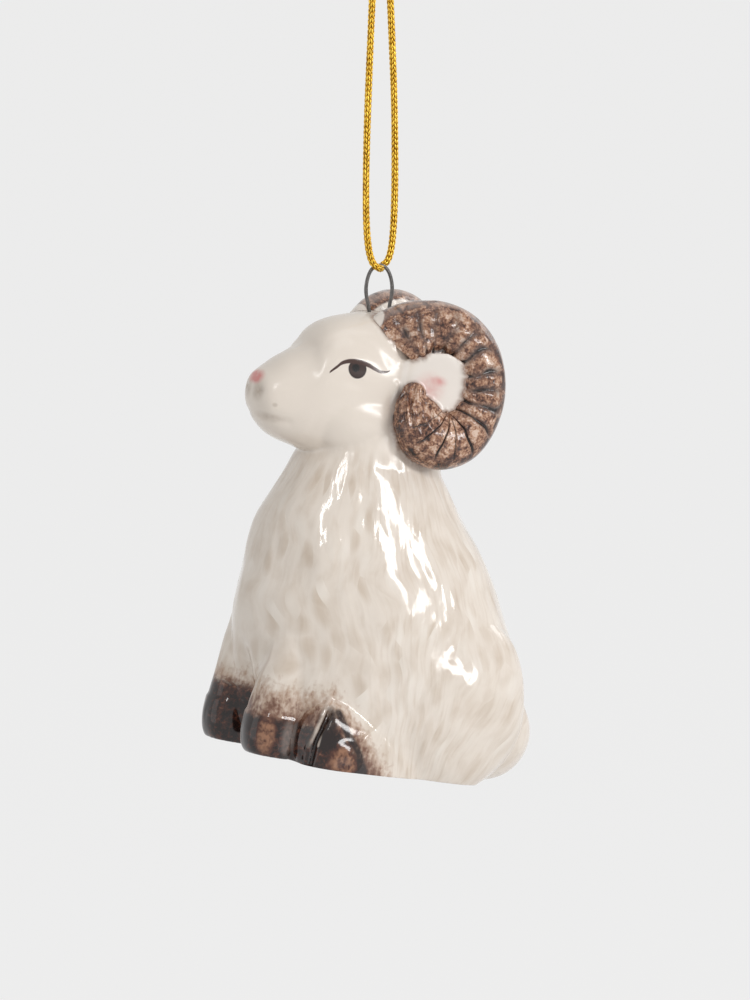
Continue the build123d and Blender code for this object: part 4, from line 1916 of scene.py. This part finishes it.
@dataclass
class Knit:
    """Round cord knitted from metallic thread: columns of stitches, each stitch a small V."""

    diameter: float = 1.35 * MM
    body_radius: float = 0.35 * MM
    thread_radius: float = 0.155 * MM
    pitch: float = 0.78 * MM
    columns: int = 4
    overlap: float = 1.55
    tuck: float = 0.10 * MM
    twist: float = 0.035 / MM
    slant: tuple = (0.228, 1.52)
    rings: int = 7
    sides: int = 7
    line_gap: float = 0.08 * MM
    core_radius: float = 0.2975 * MM
    core_sides: int = 10

    def build(self, name: str, centrelines: Sequence[np.ndarray]) -> bpy.types.Object:
        """Knits a cord round one or more centre lines, as one mesh.

        Args:
            name: What it is called.
            centrelines: The lines, in metres.

        Returns:
            The cord.
        """
        parts, faces, first = [], [], 0
        for line in centrelines:
            path = Path(evenly(line, self.line_gap))
            for column in range(self.columns):
                for way in (1, -1):
                    points, made = self.legs(path, column, way, first)
                    parts.append(points)
                    faces += made
                    first += len(points)
            core = np.full(len(path.points), self.core_radius)
            points, made = tube(path, core, self.core_sides, first)
            parts.append(np.column_stack((points, np.zeros(len(points)))))
            faces += made
            first += len(points)
        table = np.concatenate(parts)
        made = mesh_object(name, table[:, :3], faces)
        keep_number(made.data, "proud", table[:, 3])
        return made

    def legs(self, path: Path, column: int, way: int, first: int) -> tuple[np.ndarray, list]:
        """One leg of each stitch in one column.

        Args:
            path: The cord's centre line.
            column: Which column of stitches.
            way: 1 for the legs that slant one way, -1 for the others.
            first: The number of the first new point.

        Returns:
            The points, with how proud each stands in a fourth column, and the faces.
        """
        count = int(path.run[-1] / self.pitch)
        share = np.linspace(0, 1, self.rings)
        starts = (np.arange(count) + 0.5 * (column % 2)) * self.pitch
        run = np.clip(starts[:, None] + self.pitch * (self.overlap * share - 0.2), 0, path.run[-1])
        slant = way * (self.slant[0] + self.slant[1] * share) * math.pi / (2 * self.columns)
        turn = 2 * math.pi * column / self.columns + self.twist * run + slant
        lift = self.body_radius + self.tuck * (np.sin(math.pi * share) - share)
        spots = self.read(path.points, path.run, run)
        across = self.read(path.across, path.run, run)
        over = self.read(path.over, path.run, run)
        outward = across * np.cos(turn)[..., None] + over * np.sin(turn)[..., None]
        centres = spots + outward * lift[..., None]
        along = np.gradient(centres, axis=1)
        along /= np.linalg.norm(along, axis=2)[..., None] + 1e-12
        aside = np.cross(along, outward)
        girth = self.thread_radius * (0.45 + 0.55 * np.sin(math.pi * share) ** 0.6)
        around = np.linspace(0, 2 * math.pi, self.sides, endpoint=False)
        ring = outward[:, :, None] * np.cos(around)[:, None] + aside[:, :, None] * np.sin(around)[:, None]
        points = centres[:, :, None] + ring * girth[:, None, None]
        # How far each point stands out, which the gold thread paints as a highlight on top and shade
        # between the stitches.
        height = np.broadcast_to(np.cos(around) * 0.5 + 0.5, points.shape[:3])
        arch = np.sin(math.pi * share)[None, :, None]
        proud = height * (0.35 + 0.65 * arch)
        faces = []
        for stitch in range(count):
            faces += closed_faces(self.rings, self.sides, first + stitch * self.rings * self.sides)
        return np.column_stack((points.reshape(-1, 3), proud.reshape(-1))), faces

    @staticmethod
    def read(rows: np.ndarray, run: np.ndarray, places: np.ndarray) -> np.ndarray:
        """Rows of vectors read at places along a run."""
        return np.stack([np.interp(places, run, rows[:, axis]) for axis in range(3)], axis=-1)


@dataclass
class HangingCord:
    """The gold cord: two strands from the knot, one passing under the wire's crown."""

    knit: Knit
    route: tuple = (
        (0.00034, -0.00068, -0.00005),
        (0.00118, -0.00264, -0.031),
        (0.00154, -0.00330, -0.046),
        (0.00158, -0.00320, -0.0545),
        (0.00158, -0.00240, -0.0588),
        (0.00142, -0.00062, -0.0598),
        (-0.00142, 0.00062, -0.0598),
        (-0.00158, 0.00220, -0.0589),
        (-0.00154, 0.00288, -0.0546),
        (-0.00150, 0.00312, -0.045),
        (-0.00120, 0.00270, -0.029),
        (-0.00034, 0.00068, -0.00005),
    )
    knot_radius: float = 1.42 * MM
    knot_height: float = 4.6 * MM
    wraps: float = 2.6
    tail_length: float = 8.6 * MM
    tail_lean: float = 12.0
    tail_spread: float = 0.5 * MM
    tail_start: float = 0.3 * MM
    line_steps: int = 40
    wrap_steps: int = 90
    tail_steps: int = 40

    def build(self) -> tuple[bpy.types.Object, np.ndarray]:
        """The cord and the line that it follows."""
        line = smooth_line("cord_line", self.route, self.line_steps)
        return self.knit.build("hanging_cord_knitted", [line]), line

    def knot(self) -> bpy.types.Object:
        """The wrapped knot with its two cut ends.

        Returns:
            The knot.
        """
        turns = np.linspace(0, 2 * math.pi * self.wraps, self.wrap_steps)
        margin = self.knit.diameter / 2
        climb = np.linspace(margin, self.knot_height - margin, self.wrap_steps)
        wrap = np.stack((self.knot_radius * np.cos(turns), self.knot_radius * np.sin(turns), climb), axis=1)
        lines = [wrap]
        top = self.knot_height + self.tail_length - self.knit.diameter
        rise = np.linspace(self.tail_start, top, self.tail_steps)
        lean = math.tan(math.radians(self.tail_lean))
        out = self.tail_spread + np.clip(rise - self.knot_height * 0.6, 0, None) * lean
        for way in (-1, 1):
            lines.append(np.stack((np.zeros_like(rise), way * out, rise), axis=1))
        return self.knit.build("cord_knot_tied", lines)


@dataclass(frozen=True)
class SoftBox:
    """A rectangular soft box aimed at the ram's middle.

    Attributes:
        name: What it is called.
        turn: Its bearing, in degrees, from the ram's front towards its left.
        rise: Its height above the horizon, in degrees.
        reach: Its distance in metres.
        size: Width and height in metres.
        power: Its power in watts.
        roll: How far its top leans towards the ram's front, in degrees.
    """

    name: str
    turn: float
    rise: float
    reach: float
    size: tuple[float, float]
    power: float
    roll: float = 0.0
    target: tuple[float, float, float] = (0.0, 0.0, -0.1)

    def build(self) -> None:
        """Puts the lamp in its place."""
        data = bpy.data.lights.new(self.name, "AREA")
        data.shape = "RECTANGLE"
        data.size, data.size_y = self.size
        data.energy = self.power
        bearing, lift = math.radians(self.turn), math.radians(self.rise)
        level = math.cos(lift)
        away = Vector((math.sin(bearing) * level, -math.cos(bearing) * level, math.sin(lift)))
        lamp = bpy.data.objects.new(self.name, data)
        lamp.location = Vector(self.target) + away * self.reach
        lean = Quaternion((0, 0, 1), math.radians(self.roll))
        lamp.rotation_euler = (away.to_track_quat("Z", "Y") @ lean).to_euler()
        bpy.context.scene.collection.objects.link(lamp)


@dataclass
class Studio:
    """A plain pale room, soft boxes and the camera."""

    hanging: Hanging
    azimuth: float = 64.0
    elevation: float = 9.5
    distance: float = 1.2
    pixel: float = 0.15 * MM
    frame_width: int = 750
    frame_height: int = 1000
    pivot_column: float = 381.0
    pivot_row: float = 269.5
    sensor: float = 36.0
    near_limit: float = 0.05
    far_limit: float = 20.0
    floor_height: float = -0.36
    floor_reach: float = 4.0
    backdrop: tuple = paint(237, 237, 237)
    floor_glow: tuple = paint(245, 245, 245)
    floor_share: float = 0.85
    daylight: tuple = (1.0, 0.985, 0.965, 1.0)
    daylight_strength: float = 0.485
    boxes: tuple = (
        SoftBox("key_strip", 115.0, 19.0, 0.7, (0.10, 0.46), 2.1, 50.0),
        SoftBox("front_strip", 50.0, 37.0, 0.7, (0.04, 0.20), 0.42),
        SoftBox("top_box", 120.0, 76.0, 0.8, (0.4, 0.4), 0.5),
        SoftBox("back_box", 190.0, 30.0, 0.8, (0.3, 0.4), 0.8),
        SoftBox("front_fill", -10.0, 8.0, 0.8, (0.5, 0.5), 0.45),
        SoftBox("low_fill", 110.0, -24.0, 0.55, (0.4, 0.3), 0.22),
    )

    def camera(self) -> None:
        """Looks at the ram as the photograph does."""
        turn, rise = math.radians(self.azimuth), math.radians(self.elevation)
        right = Vector((math.cos(turn), math.sin(turn), 0))
        back = Vector((math.sin(turn) * math.cos(rise), -math.cos(turn) * math.cos(rise), math.sin(rise)))
        up = back.cross(right)
        aim = Vector((0, 0, -self.hanging.cord_drop * MM))
        aim += right * (self.frame_width / 2 - self.pivot_column) * self.pixel
        aim += up * (self.pivot_row - self.frame_height / 2) * self.pixel
        data = bpy.data.cameras.new("camera")
        data.sensor_width = self.sensor
        data.lens = self.sensor * self.distance / (self.frame_height * self.pixel)
        data.clip_start = self.near_limit
        data.clip_end = self.far_limit
        made = bpy.data.objects.new("camera", data)
        made.location = aim + back * self.distance
        made.rotation_euler = (-back).to_track_quat("-Z", "Y").to_euler()
        bpy.context.scene.collection.objects.link(made)
        bpy.context.scene.camera = made

    def world(self) -> None:
        """Even pale light, which the camera and reflections see as the backdrop."""
        world = bpy.data.worlds.new("studio")
        bpy.context.scene.world = world
        world.use_nodes = True
        nodes = Nodes(world.node_tree)
        light = nodes.signal(
            "ShaderNodeBackground", {}, {"Color": self.daylight, "Strength": self.daylight_strength}
        )
        seen = nodes.signal("ShaderNodeBackground", {}, {"Color": self.backdrop, "Strength": 1.0})
        eye, gloss = nodes.signals("ShaderNodeLightPath", {}, {}, "Is Camera Ray", "Is Glossy Ray")
        mix = nodes.signal("ShaderNodeMixShader", {}, {0: eye + gloss, 1: light, 2: seen})
        nodes.node("ShaderNodeOutputWorld", {}, {"Surface": mix})

    def floor(self) -> None:
        """A pale floor well below the ram, clear from underneath."""
        reach, level = self.floor_reach, self.floor_height
        corners = [(-reach, -reach), (reach, -reach), (reach, reach), (-reach, reach)]
        points = np.array([(*corner, level) for corner in corners])
        made = mesh_object("studio_floor", points, [(0, 1, 2, 3)])
        shader = Shader("studio_floor")
        shader.finish(Base_Color=self.backdrop, Roughness=1.0, Specular_IOR_Level=0.0)
        plain = shader.surface.outputs[0]
        glow = shader.signal("ShaderNodeEmission", {}, {"Color": self.floor_glow, "Strength": 1.0})
        eye, gloss = shader.signals("ShaderNodeLightPath", {}, {}, "Is Camera Ray", "Is Glossy Ray")
        share = eye * self.floor_share + gloss
        lit = shader.signal("ShaderNodeMixShader", {}, {0: share, 1: plain, 2: glow})
        clear = shader.signal("ShaderNodeBsdfTransparent", {}, {})
        below = shader.signal("ShaderNodeNewGeometry", {}, {}, "Backfacing")
        both = shader.signal("ShaderNodeMixShader", {}, {0: below, 1: lit, 2: clear})
        shader.feed(shader.output.inputs["Surface"], both)
        made.data.materials.append(shader.material)

    def build(self) -> None:
        """Sets up the whole studio."""
        bpy.context.scene.view_settings.view_transform = "Standard"
        self.world()
        self.floor()
        for box in self.boxes:
            box.build()
        self.camera()


def dress(piece: bpy.types.Object, finish: bpy.types.Material, slot: Slot, body: str, *nodes: str) -> None:
    """Gives a piece its finish and its body, and hides the solids that it stands for.

    Args:
        piece: The piece.
        finish: Its material.
        slot: Not used.
        body: The body that it rides on.
        nodes: The solids that it stands for.
    """
    piece.data.materials.clear()
    piece.data.materials.append(finish)
    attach(piece, body)
    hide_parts(*nodes)
    LOG.info("%s on %s, for %s", piece.name, body, ", ".join(nodes))


def main() -> None:
    """Builds and dresses every piece in order."""
    logging.basicConfig(level=logging.INFO, format="%(name)s: %(message)s")
    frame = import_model()
    hanging = Hanging()
    Studio(hanging).build()
    gold = GoldThread().material()
    cord_maker = HangingCord(Knit())
    cord, line = cord_maker.build()
    knot = cord_maker.knot()
    dress(cord, gold, Slot.GOLD, "cord", "hanging_cord")
    dress(knot, gold, Slot.GOLD, "cord", "cord_knot")
    wire = WireLoop(hanging).build()
    dress(wire, DarkWire(hanging).material(), Slot.WIRE, "figurine", "hanger_wire")
    horn_glaze = HornGlaze(hanging).material()
    horns = [Horn(hanging, side).build() for side in Side]
    for side, horn in zip(Side, horns):
        dress(horn, horn_glaze, Slot.HORN, "figurine", f"horn_{side.name.lower()}")
    cream = CreamGlaze(hanging).material()
    for node, piece in GlazedSkin(hanging, horns).build(frame["nodes"]).items():
        dress(piece, cream, Slot.CREAM, "figurine", node)


if __name__ == "__main__":
    main()
